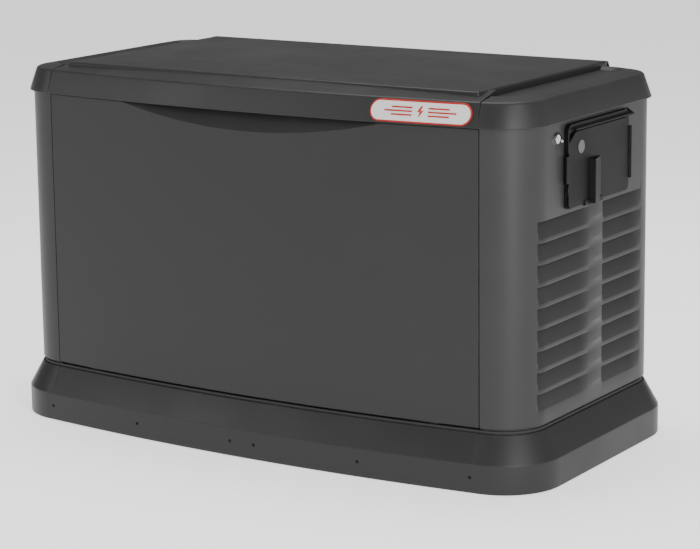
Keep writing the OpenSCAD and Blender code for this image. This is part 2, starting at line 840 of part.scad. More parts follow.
// ---- alternator ----
module alternator_can() {
  r = stator_r;
  color(cast) difference() {
    union() {
      rod_x(r, -245, 30, crank_y, crank_z);
      for (x = [-232, -44]) {
        block([x, crank_y - 75, bed_top], [x + 40, crank_y + 75, crank_z - 40]);
      }
    }
    rod_x(r - 6, -246, 22, crank_y, crank_z);
    rod_x(60, 21, 31, crank_y, crank_z);
    for (a = [0 : 7]) {
      translate([0, crank_y, crank_z]) rotate([a * 45 + 22.5, 0, 0]) block([-22, -22, r - 30], [10, 22, r + 5]);
    }
  }
}
module stator_core() {
  r = stator_r - 6.1;
  color(copper) difference() {
    union() {
      rod_x(r, -210, -60, crank_y, crank_z);
      rod_x(r - 9, -236, -34, crank_y, crank_z);
    }
    rod_x(rotor_r + 1.5, -237, -33, crank_y, crank_z);
  }
}
module rotor() {
  color(dark_steel) union() {
    rod_x(rotor_r, -205, -65, crank_y, crank_z);
    rod_x(15, -240, 28, crank_y, crank_z);
    rod_x(12.5, -292, -239, crank_y, crank_z);
    rod_x(95, -26, -22, crank_y, crank_z);
    for (a = [0 : 11]) {
      translate([0, crank_y, crank_z]) rotate([a * 30, 0, 0]) block([-23, 45, -1.5], [2, 94, 1.5]);
    }
    for (x = [-284, -272]) rod_x(20, x, x + 8, crank_y, crank_z);
  }
}
module bearing_carrier() {
  r = stator_r;
  color(cast) difference() {
    union() {
      rod_x(r, -257, -245, crank_y, crank_z);
      rod_x(26, -262, -242, crank_y, crank_z);
      block([-257, crank_y - 60, bed_top], [-245, crank_y + 60, crank_z - 60]);
      block([-288, crank_y - 14, crank_z + 24], [-256, crank_y + 14, crank_z + 54]);
    }
    rod_x(12.55, -263, -240, crank_y, crank_z);
    for (a = [0 : 5]) {
      translate([0, crank_y, crank_z]) rotate([a * 60 + 30, 0, 0]) block([-258, -22, 62], [-244, 22, 100]);
    }
  }
}

// ---- fuel ----
module fuel_regulator() {
  color(cast) difference() {
    union() {
      block([wall_x + 2, 165, 150], [wall_x + 40, 235, 154]);
      block([wall_x + 2, 165, 150], [wall_x + 6, 235, 210]);
      block([328, 165, 152], [400, 240, 208]);
      rod_z(34, 204, 222, 364, 202);
      rod_z(28, 222, 226, 364, 202);
      rod_y(13, 236, hw + 12, 364, 180);
      translate([364, hw, 180]) rotate([-90, 0, 0]) cylinder(r = 21, h = 8, $fn = 6);
      rod_z(10, 200, 232, 364, 202);
    }
    rod_y(9, 250, hw + 13, 364, 180);
  }
}
module fuel_hose() {
  bend = 24;
  color(rubber) union() {
    rod_z(8.5, 232, hose_z - bend, 364, hose_y + 2);
    translate([364 - bend, hose_y + 2, hose_z - bend]) rotate([90, 0, 0])
      rotate_extrude(angle = 90) translate([bend, 0]) circle(r = 8.5);
    rod_x(8.5, intake_x + bend, 364 - bend, hose_y + 2, hose_z);
    translate([intake_x + bend, hose_y + 2 - bend, hose_z]) rotate([0, 0, 90])
      rotate_extrude(angle = 90) translate([bend, 0]) circle(r = 8.5);
    difference() {
      rod_y(8.5, crank_y + 20, hose_y + 2 - bend, intake_x, hose_z);
      rod_z(30, 400, 520, intake_x, crank_y);
    }
  }
}

// ---- battery ----
module battery() {
  x0 = 340;
  color(black) union() {
    block([x0, -216, floor_z], [x0 + battery_length, -41, 205]);
    block([x0 - 3, -219, 190], [x0 + battery_length + 3, -38, 213]);
    block([x0 + 40, -176, 212], [x0 + battery_length - 20, -86, 216]);
  }
  color(steel) for (y = [cable_y0, cable_y1]) rod_z(8, 212, post_top, post_x, y);
}
module battery_strap() {
  x = 340 + battery_length - 12;
  color(black) union() {
    difference() {
      block([x - 8, -222, floor_z], [x + 8, -35, 216]);
      block([x - 9, -219, floor_z - 1], [x + 9, -38, 213]);
    }
    block([x - 8, -232, floor_z], [x + 8, -219, floor_z + 4]);
    block([x - 8, -38, floor_z], [x + 8, -25, floor_z + 4]);
  }
}
module cable_drop(y) {
  bend = 15;
  difference() {
    rod_z(14, 219, 232, post_x, y);
    rod_z(8.05, 218, 233, post_x, y);
  }
  difference() {
    rod_x(6, 335, post_x, y, 226);
    rod_z(8.05, 200, 240, post_x, y);
  }
  translate([335, y, 226 - bend]) rotate([90, 0, 0]) rotate([0, 0, 90])
    rotate_extrude(angle = 90) translate([bend, 0]) circle(r = 6);
  rod_z(6, cable_z + bend, 226 - bend, 335 - bend, y);
  translate([335 - 2 * bend, y, cable_z + bend]) rotate([90, 0, 0]) rotate([0, 0, 270])
    rotate_extrude(angle = 90) translate([bend, 0]) circle(r = 6);
}
module battery_cable_positive() {
  bend = 15;
  sy = crank_y - 168;
  sz = crank_z - 86;
  color(red) union() {
    cable_drop(cable_y0);
    rod_x(6, 178 + bend, 305, cable_y0, cable_z);
    translate([178 + bend, cable_y0, cable_z + bend]) rotate([90, 0, 0]) rotate([0, 0, 180])
      rotate_extrude(angle = 90) translate([bend, 0]) circle(r = 6);
    rod_z(6, cable_z + bend, sz - bend, 178, cable_y0);
    translate([178, cable_y0 + bend, sz - bend]) rotate([90, 0, 90]) rotate([0, 0, 90])
      rotate_extrude(angle = 90) translate([bend, 0]) circle(r = 6);
    difference() {
      union() {
        rod_y(6, cable_y0 + bend, sy - 6, 178, sz);
        rod_x(9, 172, 183, sy, sz);
      }
      rod_x(4, 170, 190, sy, sz);
    }
  }
}
module battery_cable_negative() {
  bend = 15;
  color(black) union() {
    cable_drop(cable_y1);
    rod_x(6, 236 + bend, 305, cable_y1, cable_z);
    translate([236 + bend, cable_y1, cable_z - bend]) rotate([90, 0, 0]) rotate([0, 0, 90])
      rotate_extrude(angle = 90) translate([bend, 0]) circle(r = 6);
    rod_z(6, floor_z + 22, cable_z - bend, 236, cable_y1);
    rod_z(11, floor_z + 20, floor_z + 25, 236, cable_y1);
  }
}

// ---- electrical ----
module control_box() {
  color(dark_steel) difference() {
    block([wall_x + 2, -212, 490], [500, 110, key_z]);
    block([wall_x + 4, -210, 492], [498, 108, key_z + 1]);
    rod_y(14, 105, 111, 400, 540);
  }
}
module key_hole_x(i) {
  translate([345 + i * 55, 0, 0]) children();
}
module control_panel() {
  color(end_grey) difference() {
    union() {
      block([wall_x + 2, -212, key_z], [500, 110, key_z + 3]);
      block([330, -138, key_z + 2], [470, -60, key_z + 6]);
      rod_z(9, key_z + 2, key_z + 14, 470, 60);
    }
    block([338, -130, key_z + 4], [462, -68, key_z + 7]);
    for (i = [0 : 2]) key_hole_x(i) rod_z(9.3, key_z - 1, key_z + 4, 0, -176);
  }
}
module key_cap() {
  union() {
    rod_z(9, key_z - 3, key_z + 7, 0, -176);
    rod_z(11, key_z - 3, key_z - 0.2, 0, -176);
  }
}
module key_auto() {
  color([0.15, 0.55, 0.25]) key_hole_x(0) key_cap();
}
module key_off() {
  color(red) key_hole_x(1) key_cap();
}
module key_manual() {
  color(white) key_hole_x(2) key_cap();
}
module main_breaker() {
  color(black) union() {
    difference() {
      block([500, -38, 540], [546, 38, 630]);
      block([528, -12, 560], [547, 12, 610]);
    }
    rod_y(3, -13, 13, lever_x, lever_z);
  }
}
module breaker_lever() {
  color(white) difference() {
    union() {
      rod_y(7, -11.5, 11.5, lever_x, lever_z);
      block([lever_x, -9, lever_z - 4], [564, 9, lever_z + 4]);
    }
    rod_y(3.06, -14, 14, lever_x, lever_z);
  }
}

base_tray();
base_fascia_front();
base_fascia_rear();
base_fascia_right();
base_fascia_left();
right_end_panel();
left_end_panel();
rear_panel();
front_door();
front_header();
roof_center();
roof_end_cap_right();
roof_end_cap_left();
hinge_lid_leaves();
hinge_base_leaves();
badge_rim();
badge_plate();
lock_housings();
lock_catches();
right_lock_plug();
left_lock_plug();
access_frame();
access_door();
access_window();
engine_wall();
muffler_wall();
vibration_mounts();
engine_bed();
crankcase();
cylinders();
rocker_covers();
spark_plugs();
crankshaft();
flywheel_fan();
rotor();
alternator_can();
stator_core();
bearing_carrier();
blower_housing();
starter_motor();
oil_filter();
dipstick();
intake_mixer();
air_cleaner_base();
air_filter();
air_cleaner_cover();
exhaust_pipes();
muffler();
fuel_regulator();
fuel_hose();
battery();
battery_strap();
battery_cable_positive();
battery_cable_negative();
control_box();
control_panel();
key_auto();
key_off();
key_manual();
main_breaker();
breaker_lever();
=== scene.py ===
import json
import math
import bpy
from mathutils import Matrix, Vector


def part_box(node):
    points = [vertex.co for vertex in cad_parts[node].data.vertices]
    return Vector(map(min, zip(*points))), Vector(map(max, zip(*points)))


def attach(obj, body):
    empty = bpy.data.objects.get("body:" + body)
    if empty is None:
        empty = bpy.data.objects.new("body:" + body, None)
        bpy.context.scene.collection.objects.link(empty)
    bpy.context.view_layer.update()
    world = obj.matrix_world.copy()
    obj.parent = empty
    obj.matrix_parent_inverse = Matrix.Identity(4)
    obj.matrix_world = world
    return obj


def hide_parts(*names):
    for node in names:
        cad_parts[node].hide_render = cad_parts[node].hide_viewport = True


bl_info = {
    "name": "Home Standby Generator",
    "version": (1, 0, 0),
    "blender": (4, 5, 0),
    "location": "3D View > Sidebar > Generator",
    "description": "Shells, trim, fasteners and finishes of a home standby generator "
                   "on its packed frame",
    "category": "Object",
}

import bpy
from bpy.props import FloatProperty, FloatVectorProperty, PointerProperty
from mathutils import Matrix, Vector

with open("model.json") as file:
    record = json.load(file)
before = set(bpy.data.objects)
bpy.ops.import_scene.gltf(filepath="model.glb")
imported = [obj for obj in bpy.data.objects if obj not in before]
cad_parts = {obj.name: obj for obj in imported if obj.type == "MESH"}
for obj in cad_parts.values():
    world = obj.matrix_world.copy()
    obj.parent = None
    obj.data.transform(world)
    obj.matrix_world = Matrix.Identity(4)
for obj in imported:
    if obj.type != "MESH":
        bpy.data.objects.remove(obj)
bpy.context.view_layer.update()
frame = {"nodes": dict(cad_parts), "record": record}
MM = 0.001

# ---- the plan of the enclosure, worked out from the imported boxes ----
END_LOW, END_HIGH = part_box("right_end_panel")
DOOR_LOW, DOOR_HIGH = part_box("front_door")
FASCIA_LOW, FASCIA_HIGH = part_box("base_fascia_right")
ROOF_LOW, ROOF_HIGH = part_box("roof_center")
CAP_LOW, CAP_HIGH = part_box("roof_end_cap_right")
SEAM_X = END_LOW.x
SEAM_Y = END_LOW.y
HALF_LENGTH = END_HIGH.x
HALF_WIDTH = END_HIGH.y
FRONT_CORNER = HALF_LENGTH - SEAM_X
REAR_CORNER = 84 * MM
BOW = SEAM_Y - DOOR_LOW.y
FRONT_RADIUS = (SEAM_X * SEAM_X + BOW * BOW) / (2 * BOW)
CORNER_STEPS = 18
SKIRT_Z = DOOR_HIGH.z + 2 * MM
KNUCKLE_Z = SKIRT_Z + 46 * MM
ROOF_Z = ROOF_HIGH.z
SKIRT_OUT = CAP_HIGH.x - HALF_LENGTH
FLARE = FASCIA_HIGH.x - HALF_LENGTH
PANEL_X = 475 * MM
SEAM_GAP = 0.5 * MM


# ---- settings ----
class GeneratorSizes(bpy.types.PropertyGroup):
    """Sizes of the pieces that are modelled on the frame"""

    louvre_depth: FloatProperty(
        name="Louvre depth", description="How far each louvre is pressed inward at its top edge",
        default=15 * MM, min=0.004, max=0.02, unit="LENGTH")
    louvre_fade: FloatProperty(
        name="Louvre fade", description="Length over which a louvre runs out at its rear end",
        default=44 * MM, min=0.01, max=0.08, unit="LENGTH")
    louvre_lip: FloatProperty(
        name="Louvre lip", description="Length over which a louvre starts at its front end",
        default=7 * MM, min=0.003, max=0.03, unit="LENGTH")
    sheet: FloatProperty(
        name="Sheet", description="Thickness of the pressed sheet",
        default=1.6 * MM, min=0.001, max=0.003, unit="LENGTH")
    moulding: FloatProperty(
        name="Moulding", description="Thickness of the roof and fascia mouldings",
        default=3 * MM, min=0.002, max=0.005, unit="LENGTH")
    edge_radius: FloatProperty(
        name="Edge radius", description="Radius of the soft moulded edges",
        default=5 * MM, min=0.001, max=0.01, unit="LENGTH")
    bolt_radius: FloatProperty(
        name="Bolt radius", description="Half the width of a bolt head across its corners",
        default=5.5 * MM, min=0.002, max=0.01, unit="LENGTH")


class GeneratorColours(bpy.types.PropertyGroup):
    """Colours of the finishes"""

    shell: FloatVectorProperty(
        name="Shell", description="Powder coat of the door, roof and fascia",
        default=(0.022, 0.022, 0.0217), subtype="COLOR", min=0, max=1)
    # The ends are the shell's paint made a little lighter: painted light, standing in for the
    # brighter light from the right on the ends.
    ends_painted_lighter: FloatVectorProperty(
        name="Ends", description="Powder coat of the end panels and the back",
        default=(0.029, 0.029, 0.0288), subtype="COLOR", min=0, max=1)
    trim: FloatVectorProperty(
        name="Trim", description="Black plastic of the access cover",
        default=(0.005, 0.005, 0.005), subtype="COLOR", min=0, max=1)
    badge_rim: FloatVectorProperty(
        name="Badge rim", description="Colour of the badge's rim and emblem",
        default=(0.42, 0.022, 0.016), subtype="COLOR", min=0, max=1)
    badge_face: FloatVectorProperty(
        name="Badge face", description="Colour of the badge's face",
        default=(0.62, 0.62, 0.61), subtype="COLOR", min=0, max=1)


class GeneratorStage(bpy.types.PropertyGroup):
    """Light and floor around the object"""

    key_power: FloatProperty(
        name="Key light", description="Power of the large soft light at the right", default=70,
        min=0, subtype="POWER")
    strip_power: FloatProperty(
        name="Strip light", description="Power of the narrow upright light", default=110, min=0,
        subtype="POWER")
    top_power: FloatProperty(
        name="Top light", description="Power of the overhead light", default=120, min=0,
        subtype="POWER")
    fill_power: FloatProperty(
        name="Fill light", description="Power of the soft light at the left", default=55, min=0,
        subtype="POWER")
    sky: FloatProperty(
        name="Sky", description="Brightness of the surroundings", default=0.25, min=0, max=5)
    floor_glow: FloatProperty(
        name="Floor glow", description="Brightness that keeps the floor pale", default=1.0, min=0,
        max=5)
    floor_size: FloatProperty(
        name="Floor size", description="Side of the floor", default=80, min=5, unit="LENGTH")


def sizes():
    return bpy.context.scene.generator_sizes


def colours():
    return bpy.context.scene.generator_colours


# ---- mesh helpers ----
def deselect():
    bpy.ops.object.select_all(action="DESELECT")


def only(obj):
    deselect()
    obj.select_set(True)
    bpy.context.view_layer.objects.active = obj
    return obj


def select_faces(obj, test):
    """Enters edit mode with only the faces that pass the test selected."""
    only(obj)
    bpy.ops.object.mode_set(mode="EDIT")
    bpy.ops.mesh.select_mode(type="FACE")
    bpy.ops.mesh.select_all(action="DESELECT")
    bpy.ops.object.mode_set(mode="OBJECT")
    for face in obj.data.polygons:
        face.select = test(face)
    bpy.ops.object.mode_set(mode="EDIT")


def settle(obj):
    """Puts the object's place into its mesh."""
    only(obj)
    bpy.ops.object.transform_apply(location=True, rotation=True, scale=True)
    return obj


def apply_modifier(obj, kind, **values):
    only(obj)
    modifier = obj.modifiers.new(kind.title(), kind)
    for key, value in values.items():
        setattr(modifier, key, value)
    bpy.ops.object.modifier_apply(modifier=modifier.name)
    return obj


def join(name, pieces):
    deselect()
    for piece in pieces:
        piece.select_set(True)
    bpy.context.view_layer.objects.active = pieces[0]
    bpy.ops.object.join()
    joined = bpy.context.view_layer.objects.active
    joined.name = name
    return joined


def smooth(obj, degrees=32):
    only(obj)
    bpy.ops.object.shade_smooth_by_angle(angle=math.radians(degrees))
    return obj


def finish_piece(obj, material, body, replaced=(), degrees=32):
    smooth(obj, degrees)
    obj.data.materials.clear()
    obj.data.materials.append(material)
    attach(obj, body)
    if replaced:
        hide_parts(*replaced)
    return obj


def mirrored(obj, name):
    """A copy of the piece on the other end, with its faces still turned outwards."""
    copy = obj.copy()
    copy.data = obj.data.copy()
    copy.name = name
    bpy.context.scene.collection.objects.link(copy)
    copy.scale.x = -1
    settle(copy)
    bpy.ops.object.mode_set(mode="EDIT")
    bpy.ops.mesh.select_all(action="SELECT")
    bpy.ops.mesh.flip_normals()
    bpy.ops.object.mode_set(mode="OBJECT")
    return face_out(copy)


def face_out(obj, core=(0, 0, 0.35)):
    """Turns the faces of an open shell away from the middle of the enclosure."""
    middle = Vector(core)
    lean = sum(p.area * p.normal.dot(p.center - middle) for p in obj.data.polygons)
    if lean < 0:
        only(obj)
        bpy.ops.object.mode_set(mode="EDIT")
        bpy.ops.mesh.select_all(action="SELECT")
        bpy.ops.mesh.flip_normals()
        bpy.ops.object.mode_set(mode="OBJECT")
    return obj


def woven_grid(name, rows, columns, place, keep=None):
    """A grid primitive whose vertex at (row, column) is moved to place(row, column)."""
    deselect()
    bpy.ops.mesh.primitive_grid_add(x_subdivisions=columns - 1, y_subdivisions=rows - 1, size=1)
    obj = bpy.context.object
    obj.name = name
    assert len(obj.data.vertices) == rows * columns, (name, len(obj.data.vertices), rows, columns)
    for vertex in obj.data.vertices:
        row, column = divmod(vertex.index, columns)
        vertex.co = place(row, column)
    if keep:
        select_faces(obj, lambda face: not keep(*divmod(min(face.vertices), columns)))
        bpy.ops.mesh.delete(type="FACE")
        bpy.ops.object.mode_set(mode="OBJECT")
    bpy.ops.object.mode_set(mode="EDIT")
    bpy.ops.mesh.select_all(action="SELECT")
    bpy.ops.mesh.remove_doubles(threshold=0.05 * MM)
    bpy.ops.mesh.dissolve_degenerate(threshold=0.02 * MM)
    bpy.ops.object.mode_set(mode="OBJECT")
    return face_out(obj)


# ---- paths round the enclosure: each station is (x, y, outward x, outward y) ----
def front_stations(x0, x1, count=48):
    middle_y = DOOR_LOW.y + FRONT_RADIUS
    stations = []
    for i in range(count + 1):
        x = x0 + (x1 - x0) * i / count
        nx = x / FRONT_RADIUS
        ny = -math.sqrt(1 - nx * nx)
        stations.append((x, middle_y + FRONT_RADIUS * ny, nx, ny))
    return stations


def corner_stations(cx, cy, radius, start, end, steps=CORNER_STEPS):
    stations = []
    for i in range(steps + 1):
        angle = math.radians(start + (end - start) * i / steps)
        nx, ny = math.cos(angle), math.sin(angle)
        stations.append((cx + radius * nx, cy + radius * ny, nx, ny))
    return stations


def end_stations(x_front, x_rear, straight=()):
    """Round the right end, from x_front at the front to x_rear at the back."""
    front_y = SEAM_Y + FRONT_CORNER
    rear_y = HALF_WIDTH - REAR_CORNER
    stations = [(x_front, SEAM_Y, 0, -1)]
    stations += corner_stations(SEAM_X, front_y, FRONT_CORNER, -90, 0)[1:]
    stations += [(HALF_LENGTH, y, 1, 0) for y in straight if front_y < y < rear_y]
    stations += corner_stations(HALF_LENGTH - REAR_CORNER, rear_y, REAR_CORNER, 0, 90)
    stations.append((x_rear, HALF_WIDTH, 0, 1))
    return stations


def filleted(points, radii, steps=5):
    """A profile with its corners rounded by arcs; one radius for each inner point."""
    out = [points[0]]
    for before, corner, after, radius in zip(points, points[1:], points[2:], radii):
        a, b, c = Vector(before), Vector(corner), Vector(after)
        u, v = (a - b).normalized(), (c - b).normalized()
        half = u.angle(v) / 2
        reach = min(radius / math.tan(half), 0.48 * (a - b).length, 0.48 * (c - b).length)
        if reach < 0.05 * MM:
            out.append(corner)
            continue
        radius = reach * math.tan(half)
        middle = b + (u + v).normalized() * (radius / math.sin(half))
        start, end = b + u * reach - middle, b + v * reach - middle
        turn = start.angle_signed(end)
        for i in range(steps + 1):
            spot = start.copy()
            spot.rotate(Matrix.Rotation(-turn * i / steps, 2))
            out.append(tuple(middle + spot))
    out.append(points[-1])
    return out


def swept(name, stations, profile):
    """A shell skin: the profile's (outward, height) points carried along the stations."""

    def place(row, column):
        x, y, nx, ny = stations[column]
        off, z = profile[row]
        return (x + nx * off, y + ny * off, z)

    return woven_grid(name, len(profile), len(stations), place)


def thicken(obj, thickness):
    return apply_modifier(obj, "SOLIDIFY", thickness=thickness, offset=-1, use_even_offset=False)


# ---- materials: shared shader groups ----
def new_group(name, inputs, outputs):
    group = bpy.data.node_groups.new(name, "ShaderNodeTree")
    for label, kind, value in inputs:
        socket = group.interface.new_socket(label, in_out="INPUT", socket_type=kind)
        if value is not None:
            socket.default_value = value
    for label, kind in outputs:
        group.interface.new_socket(label, in_out="OUTPUT", socket_type=kind)
    return group, group.nodes.new("NodeGroupInput"), group.nodes.new("NodeGroupOutput")


def add(tree, kind, **values):
    """Adds a node; keys that start with in_ set its sockets by number."""
    node = tree.nodes.new(kind)
    for key, value in values.items():
        if key.startswith("in_"):
            node.inputs[int(key[3:])].default_value = value
        else:
            setattr(node, key, value)
    return node


def ramp(tree, source, low, high):
    """A value pulled apart so that low becomes 0 and high becomes 1."""
    node = add(tree, "ShaderNodeMapRange", in_1=low, in_2=high)
    node.interpolation_type = "SMOOTHSTEP"
    tree.links.new(source, node.inputs[0])
    return node.outputs[0]


def grain_group():
    """Fine pebbled grain with a slower drift in gloss."""
    group, inside, outside = new_group(
        "Coat Grain", [("Scale", "NodeSocketFloat", 900.0)],
        [("Height", "NodeSocketFloat"), ("Drift", "NodeSocketFloat")])
    place = add(group, "ShaderNodeTexCoord")
    fine = add(group, "ShaderNodeTexNoise", in_3=3.0, in_4=0.6)
    slow = add(group, "ShaderNodeTexNoise", in_2=5.0, in_3=4.0, in_4=0.55)
    group.links.new(place.outputs["Object"], fine.inputs["Vector"])
    group.links.new(inside.outputs["Scale"], fine.inputs["Scale"])
    group.links.new(place.outputs["Object"], slow.inputs["Vector"])
    group.links.new(fine.outputs[0], outside.inputs["Height"])
    group.links.new(ramp(group, slow.outputs[0], 0.3, 0.7), outside.inputs["Drift"])
    return group


def edge_wear_and_highlight_group():
    """Where an outer edge is rubbed, and where a painted highlight runs along an edge: the rounded
    normal parts from the flat one there.
    """
    group, inside, outside = new_group(
        "Edge Wear And Highlight", [("Radius", "NodeSocketFloat", 0.002)], [("Mask", "NodeSocketFloat")])
    round_normal = add(group, "ShaderNodeBevel", samples=4)
    flat = add(group, "ShaderNodeNewGeometry")
    likeness = add(group, "ShaderNodeVectorMath", operation="DOT_PRODUCT")
    place = add(group, "ShaderNodeTexCoord")
    patches = add(group, "ShaderNodeTexNoise", in_2=34.0, in_3=5.0, in_4=0.7)
    both = add(group, "ShaderNodeMath", operation="MULTIPLY")
    group.links.new(inside.outputs["Radius"], round_normal.inputs["Radius"])
    group.links.new(round_normal.outputs[0], likeness.inputs[0])
    group.links.new(flat.outputs["Normal"], likeness.inputs[1])
    group.links.new(place.outputs["Object"], patches.inputs["Vector"])
    group.links.new(ramp(group, likeness.outputs["Value"], 0.985, 0.90), both.inputs[0])
    group.links.new(ramp(group, patches.outputs[0], 0.45, 0.68), both.inputs[1])
    group.links.new(both.outputs[0], outside.inputs["Mask"])
    return group


def dust_group():
    """Dust that settles on faces turned up, in cloudy patches."""
    group, inside, outside = new_group(
        "Settled Dust", [("Amount", "NodeSocketFloat", 0.3)], [("Mask", "NodeSocketFloat")])
    facing = add(group, "ShaderNodeNewGeometry")
    split = add(group, "ShaderNodeSeparateXYZ")
    place = add(group, "ShaderNodeTexCoord")
    clouds = add(group, "ShaderNodeTexNoise", in_2=9.0, in_3=6.0, in_4=0.62)
    both = add(group, "ShaderNodeMath", operation="MULTIPLY")
    scaled = add(group, "ShaderNodeMath", operation="MULTIPLY")
    group.links.new(facing.outputs["Normal"], split.inputs[0])
    group.links.new(place.outputs["Object"], clouds.inputs["Vector"])
    group.links.new(ramp(group, split.outputs[2], 0.1, 1.0), both.inputs[0])
    group.links.new(ramp(group, clouds.outputs[0], 0.35, 0.75), both.inputs[1])
    group.links.new(both.outputs[0], scaled.inputs[0])
    group.links.new(inside.outputs["Amount"], scaled.inputs[1])
    group.links.new(scaled.outputs[0], outside.inputs["Mask"])
    return group


GROUPS = {}


def group_node(tree, key, build, value):
    if key not in GROUPS:
        GROUPS[key] = build()
    node = tree.nodes.new("ShaderNodeGroup")
    node.node_tree = GROUPS[key]
    node.inputs[0].default_value = value
    return node


def mix_colour(tree, mask, a, b):
    """Mixes two colours; each is a value or a socket."""
    node = add(tree, "ShaderNodeMix", data_type="RGBA")
    tree.links.new(mask, node.inputs[0])
    for socket, value in ((node.inputs[6], a), (node.inputs[7], b)):
        if isinstance(value, bpy.types.NodeSocket):
            tree.links.new(value, socket)
        else:
            socket.default_value = (*value, 1.0)
    return node.outputs[2]


def shade(colour, factor):
    return tuple(min(1.0, c * factor) for c in colour)


def coat(name, colour, rough=(0.38, 0.5), metal=0.0, grain=900.0, bump=0.12, edge=0.0015,
         wear_and_highlight=None, dust=0.12, varied=0.12, clear=0.0, specular=0.5):
    """One finish: grain and drift in gloss, lighter edges that are rubbed wear and, on the shell
    and end paint, also a painted highlight, and settled dust.
    """
    material = bpy.data.materials.new(name)
    material.use_nodes = True
    tree = material.node_tree
    shader = tree.nodes["Principled BSDF"]
    shader.inputs["Metallic"].default_value = metal
    shader.inputs["Coat Weight"].default_value = clear
    shader.inputs["Specular IOR Level"].default_value = specular
    grains = group_node(tree, "grain", grain_group, grain)
    dusty = group_node(tree, "dust", dust_group, dust)
    base = mix_colour(tree, grains.outputs["Drift"], shade(colour, 1 - varied),
                      shade(colour, 1 + varied))
    # Edges take their own colour: rubbed wear, and on the shell and end paint, which are lightened
    # there, also a painted highlight along the edges.
    if wear_and_highlight:
        edge_wear_and_highlight = group_node(tree, "wear_and_highlight", edge_wear_and_highlight_group, edge)
        base = mix_colour(tree, edge_wear_and_highlight.outputs[0], base, wear_and_highlight)
    base = mix_colour(tree, dusty.outputs[0], base, (0.33, 0.32, 0.30))
    tree.links.new(base, shader.inputs["Base Color"])
    gloss = add(tree, "ShaderNodeMapRange", in_3=rough[0], in_4=rough[1])
    tree.links.new(grains.outputs["Drift"], gloss.inputs[0])
    tree.links.new(gloss.outputs[0], shader.inputs["Roughness"])
    bumps = add(tree, "ShaderNodeBump")
    bumps.inputs["Strength"].default_value = bump
    bumps.inputs["Distance"].default_value = 0.0006
    tree.links.new(grains.outputs["Height"], bumps.inputs["Height"])
    if edge:
        rounded = add(tree, "ShaderNodeBevel", samples=4)
        rounded.inputs["Radius"].default_value = edge
        tree.links.new(rounded.outputs[0], bumps.inputs["Normal"])
    tree.links.new(bumps.outputs[0], shader.inputs["Normal"])
    return material


def brushed(name, colour, rough=(0.25, 0.4), axis=0, edge=0.0006, dust=0.05):
    """Turned or brushed metal: fine lines across one axis."""
    material = coat(name, colour, rough, metal=1.0, edge=edge, dust=dust, bump=0.08, varied=0.08)
    tree = material.node_tree
    place = add(tree, "ShaderNodeTexCoord")
    stretch = add(tree, "ShaderNodeMapping")
    stretch.inputs["Scale"].default_value = [2200.0 if i == axis else 25.0 for i in range(3)]
    lines = add(tree, "ShaderNodeTexNoise", in_2=1.0, in_3=2.0)
    tree.links.new(place.outputs["Object"], stretch.inputs[0])
    tree.links.new(stretch.outputs[0], lines.inputs["Vector"])
    bump = next(n for n in tree.nodes if n.bl_idname == "ShaderNodeBump")
    tree.links.new(lines.outputs[0], bump.inputs["Height"])
    return material


def pleated(name, colour):
    """Filter paper: fine folds that run across the element."""
    material = coat(name, colour, (0.8, 0.9), bump=0.6, edge=0, dust=0.2)
    tree = material.node_tree
    place = add(tree, "ShaderNodeTexCoord")
    folds = add(tree, "ShaderNodeTexWave", in_1=160.0, in_2=0.4)
    tree.links.new(place.outputs["Object"], folds.inputs["Vector"])
    bump = next(n for n in tree.nodes if n.bl_idname == "ShaderNodeBump")
    tree.links.new(folds.outputs[0], bump.inputs["Height"])
    return material


